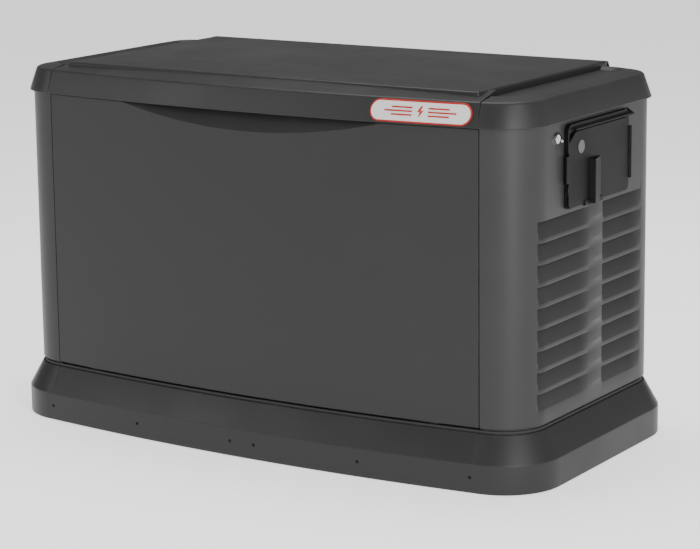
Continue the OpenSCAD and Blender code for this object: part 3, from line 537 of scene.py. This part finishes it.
def make_materials():
    c = colours()
    shell, ends_painted_lighter, trim = tuple(c.shell), tuple(c.ends_painted_lighter), tuple(c.trim)
    return {
        # The shell and end paints turn 1.9 times lighter along their edges: partly rubbed wear,
        # partly a painted highlight along the rims.
        "shell_paint": coat("Shell powder coat", shell, (0.36, 0.46), grain=1100, bump=0.10,
                            edge=0.0022,
                            wear_and_highlight=shade(shell, 1.9), dust=0.03, varied=0.05, specular=0.26),
        # End paint: the shell's paint made lighter, as painted light for the ends lit from the
        # right.
        "end_paint": coat("End powder coat painted lighter", ends_painted_lighter, (0.38, 0.48), grain=1100, bump=0.10, edge=0.0016,
                          wear_and_highlight=shade(ends_painted_lighter, 1.9), dust=0.03, varied=0.05, specular=0.26),
        "base_black": coat("Base composite", (0.018, 0.018, 0.018), (0.6, 0.75), grain=500,
                           bump=0.3),
        # Frame steel: its own black paint, made darker still as painted shade so the shadowed scoop
        # at the top of the front door reads dark.
        "frame_steel": coat("Satin black paint with painted shade", (0.007, 0.007, 0.0075), (0.42, 0.55),
                            wear_and_highlight=(0.12, 0.12, 0.12),
                            specular=0.3),
        "wall_steel": brushed("Galvanised sheet", (0.55, 0.56, 0.58), (0.35, 0.55), axis=2),
        "badge_red": coat("Badge red", tuple(c.badge_rim), (0.12, 0.2), bump=0.02, edge=0.0006,
                          dust=0.0, varied=0.04,
                          clear=0.6),
        "badge_face": coat("Badge face", tuple(c.badge_face), (0.25, 0.35), bump=0.03, edge=0.0004,
                           dust=0.0, varied=0.03),
        "lock_metal": brushed("Plated lock", (0.72, 0.72, 0.73), (0.12, 0.22), axis=1, edge=0.0005),
        "cover_black": coat("Grained black plastic", trim, (0.34, 0.46), grain=1500, bump=0.25,
                            edge=0.0012,
                            wear_and_highlight=(0.03, 0.03, 0.03), dust=0.01, specular=0.1),
        "window_grey": coat("Milky window", (0.030, 0.031, 0.033), (0.18, 0.26), bump=0.05,
                            edge=0.0012, clear=0.25,
                            wear_and_highlight=(0.25, 0.25, 0.25), dust=0),
        "rubber_black": coat("Black rubber", (0.012, 0.012, 0.012), (0.6, 0.75), grain=700,
                             bump=0.2),
        "cast_alloy": coat("Die cast alloy", (0.52, 0.53, 0.54), (0.42, 0.58), metal=0.9, grain=650,
                           bump=0.5,
                           edge=0.0014, wear_and_highlight=(0.75, 0.75, 0.76), dust=0.1),
        "plug_ceramic": coat("Glazed white", (0.78, 0.78, 0.76), (0.1, 0.2), bump=0.02, edge=0.0005,
                             clear=0.5),
        "machined_steel": brushed("Turned steel", (0.5, 0.5, 0.52), axis=0),
        "copper_winding": coat("Varnished copper", (0.42, 0.16, 0.06), (0.3, 0.45), metal=0.7,
                               grain=260, bump=0.9),
        "starter_black": coat("Gloss black paint", (0.016, 0.016, 0.017), (0.16, 0.26), clear=0.4,
                              wear_and_highlight=(0.3, 0.3, 0.3)),
        "filter_paint": coat("Gloss white paint", (0.75, 0.75, 0.72), (0.15, 0.25), clear=0.4,
                             edge=0.002),
        "grip_yellow": coat("Yellow grip", (0.75, 0.46, 0.03), (0.3, 0.4), edge=0.001),
        "filter_paper": pleated("Pleated paper", (0.55, 0.48, 0.33)),
        "exhaust_steel": brushed("Heat tinted steel", (0.40, 0.36, 0.31), (0.3, 0.5), axis=1),
        "battery_case": coat("Battery case", (0.02, 0.02, 0.022), (0.42, 0.55), grain=800,
                             bump=0.25,
                             wear_and_highlight=(0.12, 0.12, 0.12)),
        "cable_red": coat("Red cable jacket", (0.42, 0.015, 0.012), (0.42, 0.52), edge=0),
        "cable_black": coat("Black cable jacket", (0.012, 0.012, 0.012), (0.42, 0.52), edge=0),
        "key_green": coat("Green key", (0.03, 0.3, 0.08), (0.25, 0.35), edge=0.0008),
    }


MATERIALS = {}


# ---- end panels ----
LOUVRE_TOP = 498 * MM
LOUVRE_PITCH = 40.2 * MM
LOUVRE_HEIGHT = 33 * MM
LOUVRE_ROWS = 9
LOUVRE_COLUMNS = ((-204 * MM, -10 * MM), (44 * MM, 206 * MM))
LOCK_Y, LOCK_Z = -138 * MM, 641 * MM
HATCH_Y = (-95 * MM, 125 * MM)
HATCH_Z = (520 * MM, 645 * MM)


def louvre_reach(y):
    """How deep a louvre is at this place along it, from 0 to 1."""
    s = sizes()
    for y0, y1 in LOUVRE_COLUMNS:
        if y0 < y < y1:
            rise = min(1.0, (y - y0) / s.louvre_lip)
            fall = min(1.0, (y1 - y) / s.louvre_fade)
            return math.sin(rise * math.pi / 2) * math.sin(fall * math.pi / 2) ** 0.8
    return 0.0


def louvre_heights():
    """Rows of the wall: (height, depth share, whether a slot opens above this row)."""
    rows = []
    steps = (0.0, 0.06, 0.14, 0.28, 0.46, 0.64, 0.82, 0.94, 1.0)
    for i in reversed(range(LOUVRE_ROWS)):
        top = LOUVRE_TOP - i * LOUVRE_PITCH
        for t in steps:
            rows.append((top - LOUVRE_HEIGHT * (1 - t), max(0.0, t - 0.04 * math.sin(math.pi * t)),
                         t == 1.0))
        rows.append((top, 0.0, False))
    return rows


def lock_dimple(y, z):
    away = math.hypot(y - LOCK_Y, z - LOCK_Z) / (19.5 * MM)
    if away >= 1:
        return 0.0
    return 1.3 * MM * min(1.0, (1 - away) / 0.28)


def panel_columns():
    """Places along the flat of the end, close together where a louvre starts or stops."""
    near = [0, 1, 2, 3.5, 5, 7]
    far = [0, 3, 7, 12, 18, 25, 34, 44]
    places = [FRONT_CORNER + SEAM_Y + 4 * MM]
    for y0, y1 in LOUVRE_COLUMNS:
        places += [y0 + d * MM for d in near] + [y1 - d * MM for d in far]
        span = int((y1 - y0) / (16 * MM))
        places += [y0 + 7 * MM + (y1 - y0 - 51 * MM) * i / span for i in range(1, span)]
    places += [LOCK_Y + d * 3.9 * MM for d in range(-5, 6)]
    places += list(HATCH_Y)
    merged = []
    for y in sorted(places):
        if not merged or y - merged[-1] > 0.6 * MM:
            merged.append(y)
    return merged


def panel_stations():
    front_y = SEAM_Y + FRONT_CORNER
    stations = end_stations(SEAM_X + SEAM_GAP, SEAM_X + 1.5 * MM, panel_columns())
    curved = [y for y in panel_columns() if SEAM_Y + 30 * MM < y <= front_y]
    for y in curved:
        lean = math.asin((y - front_y) / FRONT_CORNER)
        nx, ny = math.cos(lean), math.sin(lean)
        stations.append((SEAM_X + FRONT_CORNER * nx, y, nx, ny))
    head = [s for s in stations if s[1] < HALF_WIDTH - REAR_CORNER]
    tail = [s for s in stations if s[1] >= HALF_WIDTH - REAR_CORNER]
    head.sort(key=lambda s: (s[1], s[0]))
    jamb = [(SEAM_X + SEAM_GAP, SEAM_Y + 44 * MM, 0, 0)]
    return jamb + head + tail + [(SEAM_X + 1.5 * MM, HALF_WIDTH - 20 * MM, 0, 0)]


def end_panel(name, hatch):
    s = sizes()
    stations = panel_stations()
    rows = [(-28 * MM, END_LOW.z, 0, False), (-6 * MM, END_LOW.z, 0, False),
            (-6 * MM, 116 * MM, 0, False),
            (-1.2 * MM, 116 * MM, 0, False), (0, 117.2 * MM, 0, False)]
    rows += [(0, z, deep, slot) for z, deep, slot in louvre_heights()]
    upper = [HATCH_Z[0], *[LOCK_Z + d * 3.9 * MM for d in range(-5, 6)], HATCH_Z[1], 668 * MM]
    rows += [(0, z, 0, False) for z in sorted(upper)]
    rows += [(0, END_HIGH.z - 1.2 * MM, 0, False), (-1.2 * MM, END_HIGH.z, 0, False),
             (-37 * MM, END_HIGH.z, 0, False)]

    def place(row, column):
        x, y, nx, ny = stations[column]
        off, z, deep, _ = rows[row]
        off -= deep * s.louvre_depth * louvre_reach(y) if nx > 0.5 else 0
        off -= lock_dimple(y, z) if nx > 0.9 and off == 0 else 0
        return (x + nx * off, y + ny * off, z)

    def keep(row, column):
        y = (stations[column][1] + stations[column + 1][1]) / 2
        z = (rows[row][1] + rows[row + 1][1]) / 2
        if stations[column][2] < 0.2:
            return True
        if rows[row][3] and louvre_reach(y) > 0.12:
            return False
        inside = HATCH_Y[0] < y < HATCH_Y[1] and HATCH_Z[0] < z < HATCH_Z[1]
        return not (hatch and inside)

    return thicken(woven_grid(name, len(rows), len(stations), place, keep), s.sheet)


# ---- roof and fascia mouldings ----
def fascia_profile():
    top = FASCIA_HIGH.z - 3 * MM
    knee = top - 51 * MM
    points = [(-2.9 * MM, top), (0.6 * MM, top), (FLARE, knee), (FLARE, 0.2 * MM),
              (FLARE - 6 * MM, 0.2 * MM)]
    return filleted(points, [2 * MM, 6 * MM, 4 * MM])


def skirt_points():
    return [(SKIRT_OUT - 3.4 * MM, SKIRT_Z), (SKIRT_OUT, SKIRT_Z), (-7 * MM, KNUCKLE_Z)]


def cap_profile():
    crest = KNUCKLE_Z + 39 * MM * 0.178
    points = skirt_points() + [(-46 * MM, crest), (-57 * MM, KNUCKLE_Z), (-60 * MM, KNUCKLE_Z)]
    return filleted(points, [1.2 * MM, 7 * MM, 5 * MM, 5 * MM])


def roof_cap(name):
    s = sizes()
    stations = end_stations(SEAM_X + SEAM_GAP, PANEL_X + 1 * MM,
                            [y * 40 * MM for y in range(-4, 6)])
    profile = cap_profile()
    deck = len(profile)

    def place(row, column):
        x, y, nx, ny = stations[column]
        off, z = profile[min(row, deck - 1)]
        spot = [x + nx * off, y + ny * off, z]
        if row == deck:
            spot[0] = PANEL_X + 1 * MM
        return spot

    return thicken(woven_grid(name, deck + 1, len(stations), place), s.moulding)


def raised_panel(name):
    """The flat raised field of the roof, open underneath, with soft edges."""
    s = sizes()
    front, rear = -232 * MM, HALF_WIDTH - 16 * MM
    low = KNUCKLE_Z - 2 * MM
    deselect()
    bpy.ops.mesh.primitive_cube_add(size=1, location=(0, (front + rear) / 2, (low + ROOF_Z) / 2))
    obj = bpy.context.object
    obj.name = name
    obj.scale = (2 * PANEL_X, rear - front, ROOF_Z - low)
    settle(obj)
    select_faces(obj, lambda face: face.normal.z < -0.5)
    bpy.ops.mesh.delete(type="FACE")
    bpy.ops.object.mode_set(mode="OBJECT")
    apply_modifier(obj, "BEVEL", width=s.edge_radius, segments=5, limit_method="ANGLE")
    return thicken(obj, s.moulding)


def roof_middle(name):
    s = sizes()
    top = KNUCKLE_Z + 73 * MM * 0.178
    front = filleted(skirt_points() + [(-80 * MM, top)], [1.2 * MM, 7 * MM])
    back = filleted(skirt_points() + [(-15 * MM, ROOF_Z - 0.4 * MM), (-30 * MM, ROOF_Z - 0.4 * MM)],
                    [1.2 * MM, 7 * MM, 6 * MM])
    rear_line = [(-PANEL_X, HALF_WIDTH, 0, 1), (0, HALF_WIDTH, 0, 1), (PANEL_X, HALF_WIDTH, 0, 1)]
    skins = [thicken(swept(name, front_stations(-SEAM_X + SEAM_GAP, SEAM_X - SEAM_GAP), front),
                     s.moulding),
             thicken(swept(name, rear_line, back), s.moulding), raised_panel(name)]
    return join(name, skins)


# ---- small pieces ----
CRANK = Vector((0, 20, 250)) * MM


def bank_point(side, x, y, z):
    """A point in one cylinder bank's own frame, in millimetres; side is 1 for the front bank."""
    lean = math.sqrt(0.5)
    return CRANK + Vector((x, side * (y - z) * lean, (y + z) * lean)) * MM


def bank_axis(side):
    lean = math.sqrt(0.5)
    return Vector((0, -side * lean, lean))


def ring(centre, axis, radius, count, start=0.0):
    """Places spaced evenly round an axis."""
    axis = Vector(axis)
    across = axis.orthogonal().normalized()
    turned = axis.cross(across)
    spots = []
    for i in range(count):
        angle = math.radians(start) + 2 * math.pi * i / count
        spots.append(Vector(centre)
                     + (across * math.cos(angle) + turned * math.sin(angle)) * radius)
    return spots


def flange_bolt(radius):
    """A hexagon head with a chamfered top on a round flange, standing on the origin along +Z."""
    deselect()
    bpy.ops.mesh.primitive_cylinder_add(vertices=6, radius=radius, depth=radius * 1.1,
                                        location=(0, 0, radius * 0.75))
    head = apply_modifier(settle(bpy.context.object), "BEVEL", width=radius * 0.14, segments=2)
    deselect()
    bpy.ops.mesh.primitive_cylinder_add(vertices=20, radius=radius * 1.32, depth=radius * 0.3,
                                        location=(0, 0, radius * 0.15))
    flange = apply_modifier(settle(bpy.context.object), "BEVEL", width=radius * 0.12, segments=2)
    return join("bolt", [head, flange])


def pan_screw(radius):
    """A domed screw head with a cross recess, standing on the origin along +Z."""
    deselect()
    bpy.ops.mesh.primitive_uv_sphere_add(segments=24, ring_count=12, radius=radius)
    dome = bpy.context.object
    select_faces(dome, lambda face: face.center.z < 0)
    bpy.ops.mesh.delete(type="FACE")
    bpy.ops.mesh.select_mode(type="EDGE")
    bpy.ops.mesh.select_non_manifold()
    bpy.ops.mesh.edge_face_add()
    bpy.ops.object.mode_set(mode="OBJECT")
    dome.scale.z = 0.55
    settle(dome)
    for turn in (0, 90):
        deselect()
        bpy.ops.mesh.primitive_cube_add(size=1, location=(0, 0, radius * 0.6))
        cutter = bpy.context.object
        cutter.scale = (radius * 1.1, radius * 0.22, radius * 0.6)
        cutter.rotation_euler.z = math.radians(turn)
        settle(cutter)
        apply_modifier(dome, "BOOLEAN", object=cutter, operation="DIFFERENCE", solver="EXACT")
        bpy.data.objects.remove(cutter)
    dome.name = "screw"
    return dome


def collar(inner, outer):
    """A flat ring with a rounded face, lying on the origin and facing +Z."""
    deselect()
    bpy.ops.mesh.primitive_torus_add(major_segments=40, minor_segments=10,
                                     major_radius=(inner + outer) / 2,
                                     minor_radius=(outer - inner) / 2)
    ring_piece = bpy.context.object
    ring_piece.scale.z = 0.35
    return settle(ring_piece)


def set_out(name, template, places):
    """Copies of the template at each (point, outward axis), joined into one piece."""
    copies = []
    for point, axis in places:
        copy = template.copy()
        copy.data = template.data.copy()
        bpy.context.scene.collection.objects.link(copy)
        copy.location = point
        copy.rotation_euler = Vector(axis).to_track_quat("Z", "X").to_euler()
        copies.append(settle(copy))
    bpy.data.objects.remove(template)
    return join(name, copies)


def plate(name, outline, thickness, to_place):
    """A flat outline given depth, then laid on a surface by to_place(u, v, lift)."""
    deselect()
    bpy.ops.mesh.primitive_circle_add(vertices=len(outline), radius=1, fill_type="NGON")
    obj = bpy.context.object
    obj.name = name
    for vertex in obj.data.vertices:
        vertex.co = (*outline[vertex.index], 0)
    bpy.ops.object.mode_set(mode="EDIT")
    bpy.ops.mesh.select_all(action="SELECT")
    bpy.ops.mesh.extrude_region_move(TRANSFORM_OT_translate={"value": (0, 0, thickness)})
    bpy.ops.mesh.select_all(action="SELECT")
    bpy.ops.mesh.normals_make_consistent(inside=False)
    bpy.ops.object.mode_set(mode="OBJECT")
    apply_modifier(obj, "BEVEL", width=thickness * 0.35, segments=2, limit_method="ANGLE")
    for vertex in obj.data.vertices:
        vertex.co = to_place(*vertex.co)
    return obj


def on_skirt(u, v, lift):
    """A point on the roof's front skirt: u along it and v up it from the badge's middle."""
    badge_low, badge_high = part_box("badge_plate")
    x = (badge_low.x + badge_high.x) / 2 + u
    height = KNUCKLE_Z - SKIRT_Z
    run = SKIRT_OUT + 7 * MM
    slope = math.hypot(run, height)
    t = 0.5 + v / slope
    nx = x / FRONT_RADIUS
    ny = -math.sqrt(1 - nx * nx)
    off = SKIRT_OUT - run * t + lift * height / slope
    base_y = DOOR_LOW.y + FRONT_RADIUS
    return (x + nx * off, base_y + (FRONT_RADIUS + off) * ny,
            SKIRT_Z + height * t + lift * run / slope)


# ---- operators ----
class OBJECT_OT_generator_finishes(bpy.types.Operator):
    """Make the finishes and put them on every piece of the frame"""

    bl_idname = "object.generator_finishes"
    bl_label = "Finishes"

    def execute(self, context):
        MATERIALS.update(make_materials())
        slots = {p["node"]: p["material_slot"] for p in frame["record"]["subparts"]}
        for name, obj in frame["nodes"].items():
            material = MATERIALS[slots[name]]
            if not obj.data.materials:
                obj.data.materials.append(material)
            for i in range(len(obj.data.materials)):
                obj.data.materials[i] = material
        return {"FINISHED"}


class OBJECT_OT_generator_end_panels(bpy.types.Operator):
    """Press the louvred end panels"""

    bl_idname = "object.generator_end_panels"
    bl_label = "End panels"

    def execute(self, context):
        paint = MATERIALS["end_paint"]
        right = end_panel("right_end_sheet", True)
        left = mirrored(end_panel("left_end_blank", False), "left_end_sheet")
        bpy.data.objects.remove(bpy.data.objects["left_end_blank"])
        finish_piece(right, paint, "enclosure", ["right_end_panel"], 40)
        finish_piece(left, paint, "enclosure", ["left_end_panel"], 40)
        return {"FINISHED"}


class OBJECT_OT_generator_fascia(bpy.types.Operator):
    """Mould the four fascia pieces of the base"""

    bl_idname = "object.generator_fascia"
    bl_label = "Base fascia"

    def execute(self, context):
        s = sizes()
        paint = MATERIALS["shell_paint"]
        profile = fascia_profile()
        reach = SEAM_X - SEAM_GAP
        rear_line = [(-reach, HALF_WIDTH, 0, 1), (0, HALF_WIDTH, 0, 1), (reach, HALF_WIDTH, 0, 1)]
        front = thicken(swept("front_fascia", front_stations(-reach, reach), profile), s.moulding)
        rear = thicken(swept("rear_fascia", rear_line, profile), s.moulding)
        ring = end_stations(SEAM_X + SEAM_GAP, SEAM_X + SEAM_GAP)
        right = thicken(swept("right_fascia", ring, profile), s.moulding)
        left = mirrored(right, "left_fascia")
        for piece, side in ((front, "front"), (rear, "rear"), (right, "right"), (left, "left")):
            finish_piece(piece, paint, "enclosure", ["base_fascia_" + side])
        return {"FINISHED"}


class OBJECT_OT_generator_roof(bpy.types.Operator):
    """Mould the roof's middle and its two end caps"""

    bl_idname = "object.generator_roof"
    bl_label = "Roof"

    def execute(self, context):
        paint = MATERIALS["shell_paint"]
        middle = roof_middle("roof_shell")
        right = roof_cap("right_roof_cap")
        left = mirrored(right, "left_roof_cap")
        finish_piece(middle, paint, "roof_lid", ["roof_center"])
        finish_piece(right, paint, "roof_lid", ["roof_end_cap_right"])
        finish_piece(left, paint, "roof_lid", ["roof_end_cap_left"])
        return {"FINISHED"}


class OBJECT_OT_generator_emblem(bpy.types.Operator):
    """Lay a plain emblem, a flash between bars, on the badge plate"""

    bl_idname = "object.generator_emblem"
    bl_label = "Badge emblem"

    def execute(self, context):
        lift = 2.6 * MM
        flash = [(2, 11), (-7, -1), (-1, -1), (-3, -11), (7, 2), (1, 2), (5, 11)]

        def laid(u, v, w):
            return on_skirt(u, v, lift + w)

        pieces = [plate("emblem_flash", [(u * MM, v * MM) for u, v in flash], 0.6 * MM, laid)]
        for side in (-1, 1):
            for row, reach in ((-1, 58), (0, 72), (1, 58)):
                start, end = sorted((side * 16, side * reach))
                foot, head, cut = row * 7 - 1.5, row * 7 + 1.5, 24
                low = [(start + (end - start) * i / cut, foot) for i in range(cut + 1)]
                high = [(end - (end - start) * i / cut, head) for i in range(cut + 1)]
                pieces.append(plate("emblem_bar", [(u * MM, v * MM) for u, v in low + high],
                                    0.6 * MM, laid))
        emblem = join("badge_emblem", pieces)
        finish_piece(emblem, MATERIALS["badge_red"], "roof_lid")
        return {"FINISHED"}


# ---- where the fasteners sit, in metres unless the name says otherwise ----
COVER_BOLTS_X_MM, COVER_BOLTS_Y_MM, COVER_BOLTS_Z_MM = (95, 159), (-26, 26), 248
SHROUD_RING, SHROUD_BOLTS, SHROUD_START_DEG = 139 * MM, 8, 22.5
CARRIER_RING, CARRIER_BOLTS, CARRIER_DEPTH = 112 * MM, 6, 31 * MM
REGULATOR_TOP = (364 * MM, 202 * MM, 222 * MM)
REGULATOR_RING, REGULATOR_SCREWS = 31 * MM, 6
PANEL_FACE = 643 * MM
RIVET_Y, RIVET_Z = -119 * MM, 636 * MM
LOCK_Y, LOCK_Z = -138 * MM, 641 * MM
FASCIA_SCREWS_X_MM = (-488, -258, -28, 28, 258, 488)
FASCIA_SCREW_Z = 30 * MM


class OBJECT_OT_generator_fasteners(bpy.types.Operator):
    """Set out the bolts and screws of the engine, alternator, wiring box and hinges"""

    bl_idname = "object.generator_fasteners"
    bl_label = "Fasteners"

    def execute(self, context):
        steel, slot = MATERIALS["machined_steel"], "machined_steel"
        radius = sizes().bolt_radius
        covers = [(bank_point(side, x, y, COVER_BOLTS_Z_MM), bank_axis(side))
                  for side in (1, -1) for x in COVER_BOLTS_X_MM for y in COVER_BOLTS_Y_MM]
        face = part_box("blower_housing")[1].x
        shroud = [(spot, (1, 0, 0)) for spot in ring(
            (face, CRANK.y, CRANK.z), (1, 0, 0), SHROUD_RING, SHROUD_BOLTS, SHROUD_START_DEG)]
        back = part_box("bearing_carrier")[0].x + CARRIER_DEPTH
        carrier = [(spot, (-1, 0, 0)) for spot in ring(
            (back, CRANK.y, CRANK.z), (-1, 0, 0), CARRIER_RING, CARRIER_BOLTS)]
        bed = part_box("engine_bed")[1].z
        feet = [((x * MM, y * MM, bed), (0, 0, 1)) for x in (-270, 215) for y in (-95, 135)]
        bolts = covers + shroud + carrier + feet
        finish_piece(set_out("engine_bolts", flange_bolt(radius), bolts), steel, "enclosure")
        cap = [(spot, (0, 0, 1))
               for spot in ring(REGULATOR_TOP, (0, 0, 1), REGULATOR_RING, REGULATOR_SCREWS)]
        panel = [((x * MM, y * MM, PANEL_FACE), (0, 0, 1)) for x in (308, 492) for y in (-204, 102)]
        breaker = [((546 * MM, 0, z * MM), (1, 0, 0)) for z in (548, 622)]
        leaf_y = HALF_WIDTH + 3 * MM
        leaves = [((s * x * MM, leaf_y, z * MM), (0, 1, 0))
                  for s in (1, -1) for x in (306, 354) for z in (622, 642)]
        rivets = [((s * HALF_LENGTH, RIVET_Y, RIVET_Z), (s, 0, 0)) for s in (1, -1)]
        screws = cap + panel + breaker + leaves + rivets
        finish_piece(set_out("small_screws", pan_screw(4 * MM), screws), steel, "enclosure")
        holes = []
        for x in FASCIA_SCREWS_X_MM:
            nx = x * MM / FRONT_RADIUS
            ny = -math.sqrt(1 - nx * nx)
            y = DOOR_LOW.y + FRONT_RADIUS + (FRONT_RADIUS + FLARE) * ny
            holes.append(((x * MM + FLARE * nx, y + 0.6 * MM, FASCIA_SCREW_Z), (nx, ny, 0)))
        black = MATERIALS["cover_black"]
        finish_piece(set_out("fascia_screws", pan_screw(3.4 * MM), holes), black, "enclosure")
        collars = [((s * (HALF_LENGTH + 2 * MM), LOCK_Y, LOCK_Z), (s, 0, 0)) for s in (1, -1)]
        finish_piece(set_out("lock_collars", collar(8.6 * MM, 12 * MM), collars), black,
                     "enclosure")
        return {"FINISHED"}


class OBJECT_OT_generator_linings(bpy.types.Operator):
    """Line the roof with sound foam and run a bulb seal round the rim"""

    bl_idname = "object.generator_linings"
    bl_label = "Foam and seal"

    def execute(self, context):
        rubber = MATERIALS["rubber_black"]
        bulb = [(-22 * MM + 3 * MM * math.cos(a), END_HIGH.z + 3 * MM + 3 * MM * math.sin(a))
                for a in (2 * math.pi * i / 12 for i in range(13))]
        right = swept("roof_seal", end_stations(SEAM_X + 2 * MM, 0), bulb)
        left = mirrored(right, "roof_seal_left")
        finish_piece(join("roof_seal", [right, left]), rubber, "enclosure",
                     degrees=60)
        deselect()
        bpy.ops.mesh.primitive_grid_add(x_subdivisions=60, y_subdivisions=32, size=1)
        foam = bpy.context.object
        foam.name = "roof_foam"
        wide, deep = 464 * MM, 238 * MM
        for vertex in foam.data.vertices:
            u, v = vertex.co.x * 2, vertex.co.y * 2
            tuft = 2.5 * MM * abs(math.sin(u * 6 * math.pi) * math.sin(v * 3 * math.pi)) ** 0.4
            vertex.co = (u * wide, 15 * MM + v * deep, ROOF_Z - 12 * MM - tuft)
        bpy.ops.object.mode_set(mode="EDIT")
        bpy.ops.mesh.select_all(action="SELECT")
        bpy.ops.mesh.extrude_region_move(TRANSFORM_OT_translate={"value": (0, 0, 8 * MM)})
        bpy.ops.mesh.select_all(action="SELECT")
        bpy.ops.mesh.normals_make_consistent(inside=False)
        bpy.ops.object.mode_set(mode="OBJECT")
        finish_piece(foam, rubber, "roof_lid")
        return {"FINISHED"}


def soft_light(name, place, target, size, power, tint=(1, 1, 1)):
    deselect()
    bpy.ops.object.light_add(type="AREA", location=place)
    light = bpy.context.object
    light.name = name
    light.data.shape = "RECTANGLE"
    light.data.size, light.data.size_y = size
    light.data.energy = power
    light.data.color = tint
    light.rotation_euler = (Vector(target) - Vector(place)).to_track_quat("-Z", "Y").to_euler()
    return light


# The camera that gives the photograph's view, found by fitting the model's own points to it.
CAMERA_PLACE = (2.639, -4.0061, 1.3348)
CAMERA_AIM = (-0.54169, 0.81825, -0.19244)
CAMERA_ROLL = math.radians(-0.78)
CAMERA_LENS = 125.1
CAMERA_SENSOR = 36
CAMERA_SHIFT = (0.0349, -0.0639)
CAMERA_REACH = 200


class OBJECT_OT_generator_stage(bpy.types.Operator):
    """Set out the floor, the soft lights and the camera"""

    bl_idname = "object.generator_stage"
    bl_label = "Stage"

    def execute(self, context):
        stage = context.scene.generator_stage
        deselect()
        bpy.ops.mesh.primitive_plane_add(size=stage.floor_size, location=(0, 0, -0.0005))
        floor = bpy.context.object
        floor.name = "studio_floor"
        pale = bpy.data.materials.new("Pale floor")
        pale.use_nodes = True
        shader = pale.node_tree.nodes["Principled BSDF"]
        shader.inputs["Base Color"].default_value = (0.9, 0.9, 0.9, 1)
        shader.inputs["Roughness"].default_value = 0.8
        shader.inputs["Emission Color"].default_value = (1, 1, 1, 1)
        shader.inputs["Emission Strength"].default_value = stage.floor_glow
        floor.data.materials.append(pale)
        world = bpy.data.worlds.new("Studio")
        context.scene.world = world
        world.use_nodes = True
        world.node_tree.nodes["Background"].inputs["Color"].default_value = (1, 1, 1, 1)
        world.node_tree.nodes["Background"].inputs["Strength"].default_value = stage.sky
        soft_light("key", (4.2, -1.6, 2.6), (0.3, 0, 0.3), (2.2, 2.2), stage.key_power)
        soft_light("strip", (3.4, -2.7, 1.3), (0.5, -0.2, 0.4), (0.35, 1.8), stage.strip_power)
        soft_light("top", (-0.5, 0.6, 4.0), (0, 0, 0.6), (3.0, 2.0), stage.top_power)
        soft_light("fill", (-3.2, -3.6, 2.2), (0, 0, 0.35), (2.4, 2.4), stage.fill_power)
        self.add_camera(context)
        return {"FINISHED"}

    def add_camera(self, context):
        deselect()
        bpy.ops.object.camera_add(location=CAMERA_PLACE)
        camera = bpy.context.object
        camera.name = "view"
        look = Vector(CAMERA_AIM).to_track_quat("-Z", "Y").to_matrix().to_4x4()
        roll = Matrix.Rotation(CAMERA_ROLL, 4, "Z")
        camera.rotation_euler = (look @ roll).to_euler()
        camera.data.lens = CAMERA_LENS
        camera.data.sensor_width = CAMERA_SENSOR
        camera.data.shift_x, camera.data.shift_y = CAMERA_SHIFT
        camera.data.clip_end = CAMERA_REACH
        context.scene.camera = camera


class VIEW3D_PT_generator(bpy.types.Panel):
    """Lists the steps that build the generator"""

    bl_label = "Generator"
    bl_idname = "VIEW3D_PT_generator"
    bl_space_type = "VIEW_3D"
    bl_region_type = "UI"
    bl_category = "Generator"

    def draw(self, context):
        for group in (context.scene.generator_sizes, context.scene.generator_colours,
                      context.scene.generator_stage):
            box = self.layout.box()
            for key in group.bl_rna.properties.keys():
                if key not in ("rna_type", "name"):
                    box.prop(group, key)
        for step in STEPS:
            self.layout.operator(step.bl_idname)


STEPS = (
    OBJECT_OT_generator_finishes,
    OBJECT_OT_generator_end_panels,
    OBJECT_OT_generator_fascia,
    OBJECT_OT_generator_roof,
    OBJECT_OT_generator_emblem,
    OBJECT_OT_generator_fasteners,
    OBJECT_OT_generator_linings,
    OBJECT_OT_generator_stage,
)
CLASSES = (GeneratorSizes, GeneratorColours, GeneratorStage, *STEPS, VIEW3D_PT_generator)


def register():
    for cls in CLASSES:
        bpy.utils.register_class(cls)
    bpy.types.Scene.generator_sizes = PointerProperty(type=GeneratorSizes)
    bpy.types.Scene.generator_colours = PointerProperty(type=GeneratorColours)
    bpy.types.Scene.generator_stage = PointerProperty(type=GeneratorStage)


def unregister():
    del bpy.types.Scene.generator_stage
    del bpy.types.Scene.generator_colours
    del bpy.types.Scene.generator_sizes
    for cls in reversed(CLASSES):
        bpy.utils.unregister_class(cls)


def main():
    register()
    bpy.ops.object.generator_finishes()
    bpy.ops.object.generator_end_panels()
    bpy.ops.object.generator_fascia()
    bpy.ops.object.generator_roof()
    bpy.ops.object.generator_emblem()
    bpy.ops.object.generator_fasteners()
    bpy.ops.object.generator_linings()
    bpy.ops.object.generator_stage()


if __name__ == "__main__":
    main()
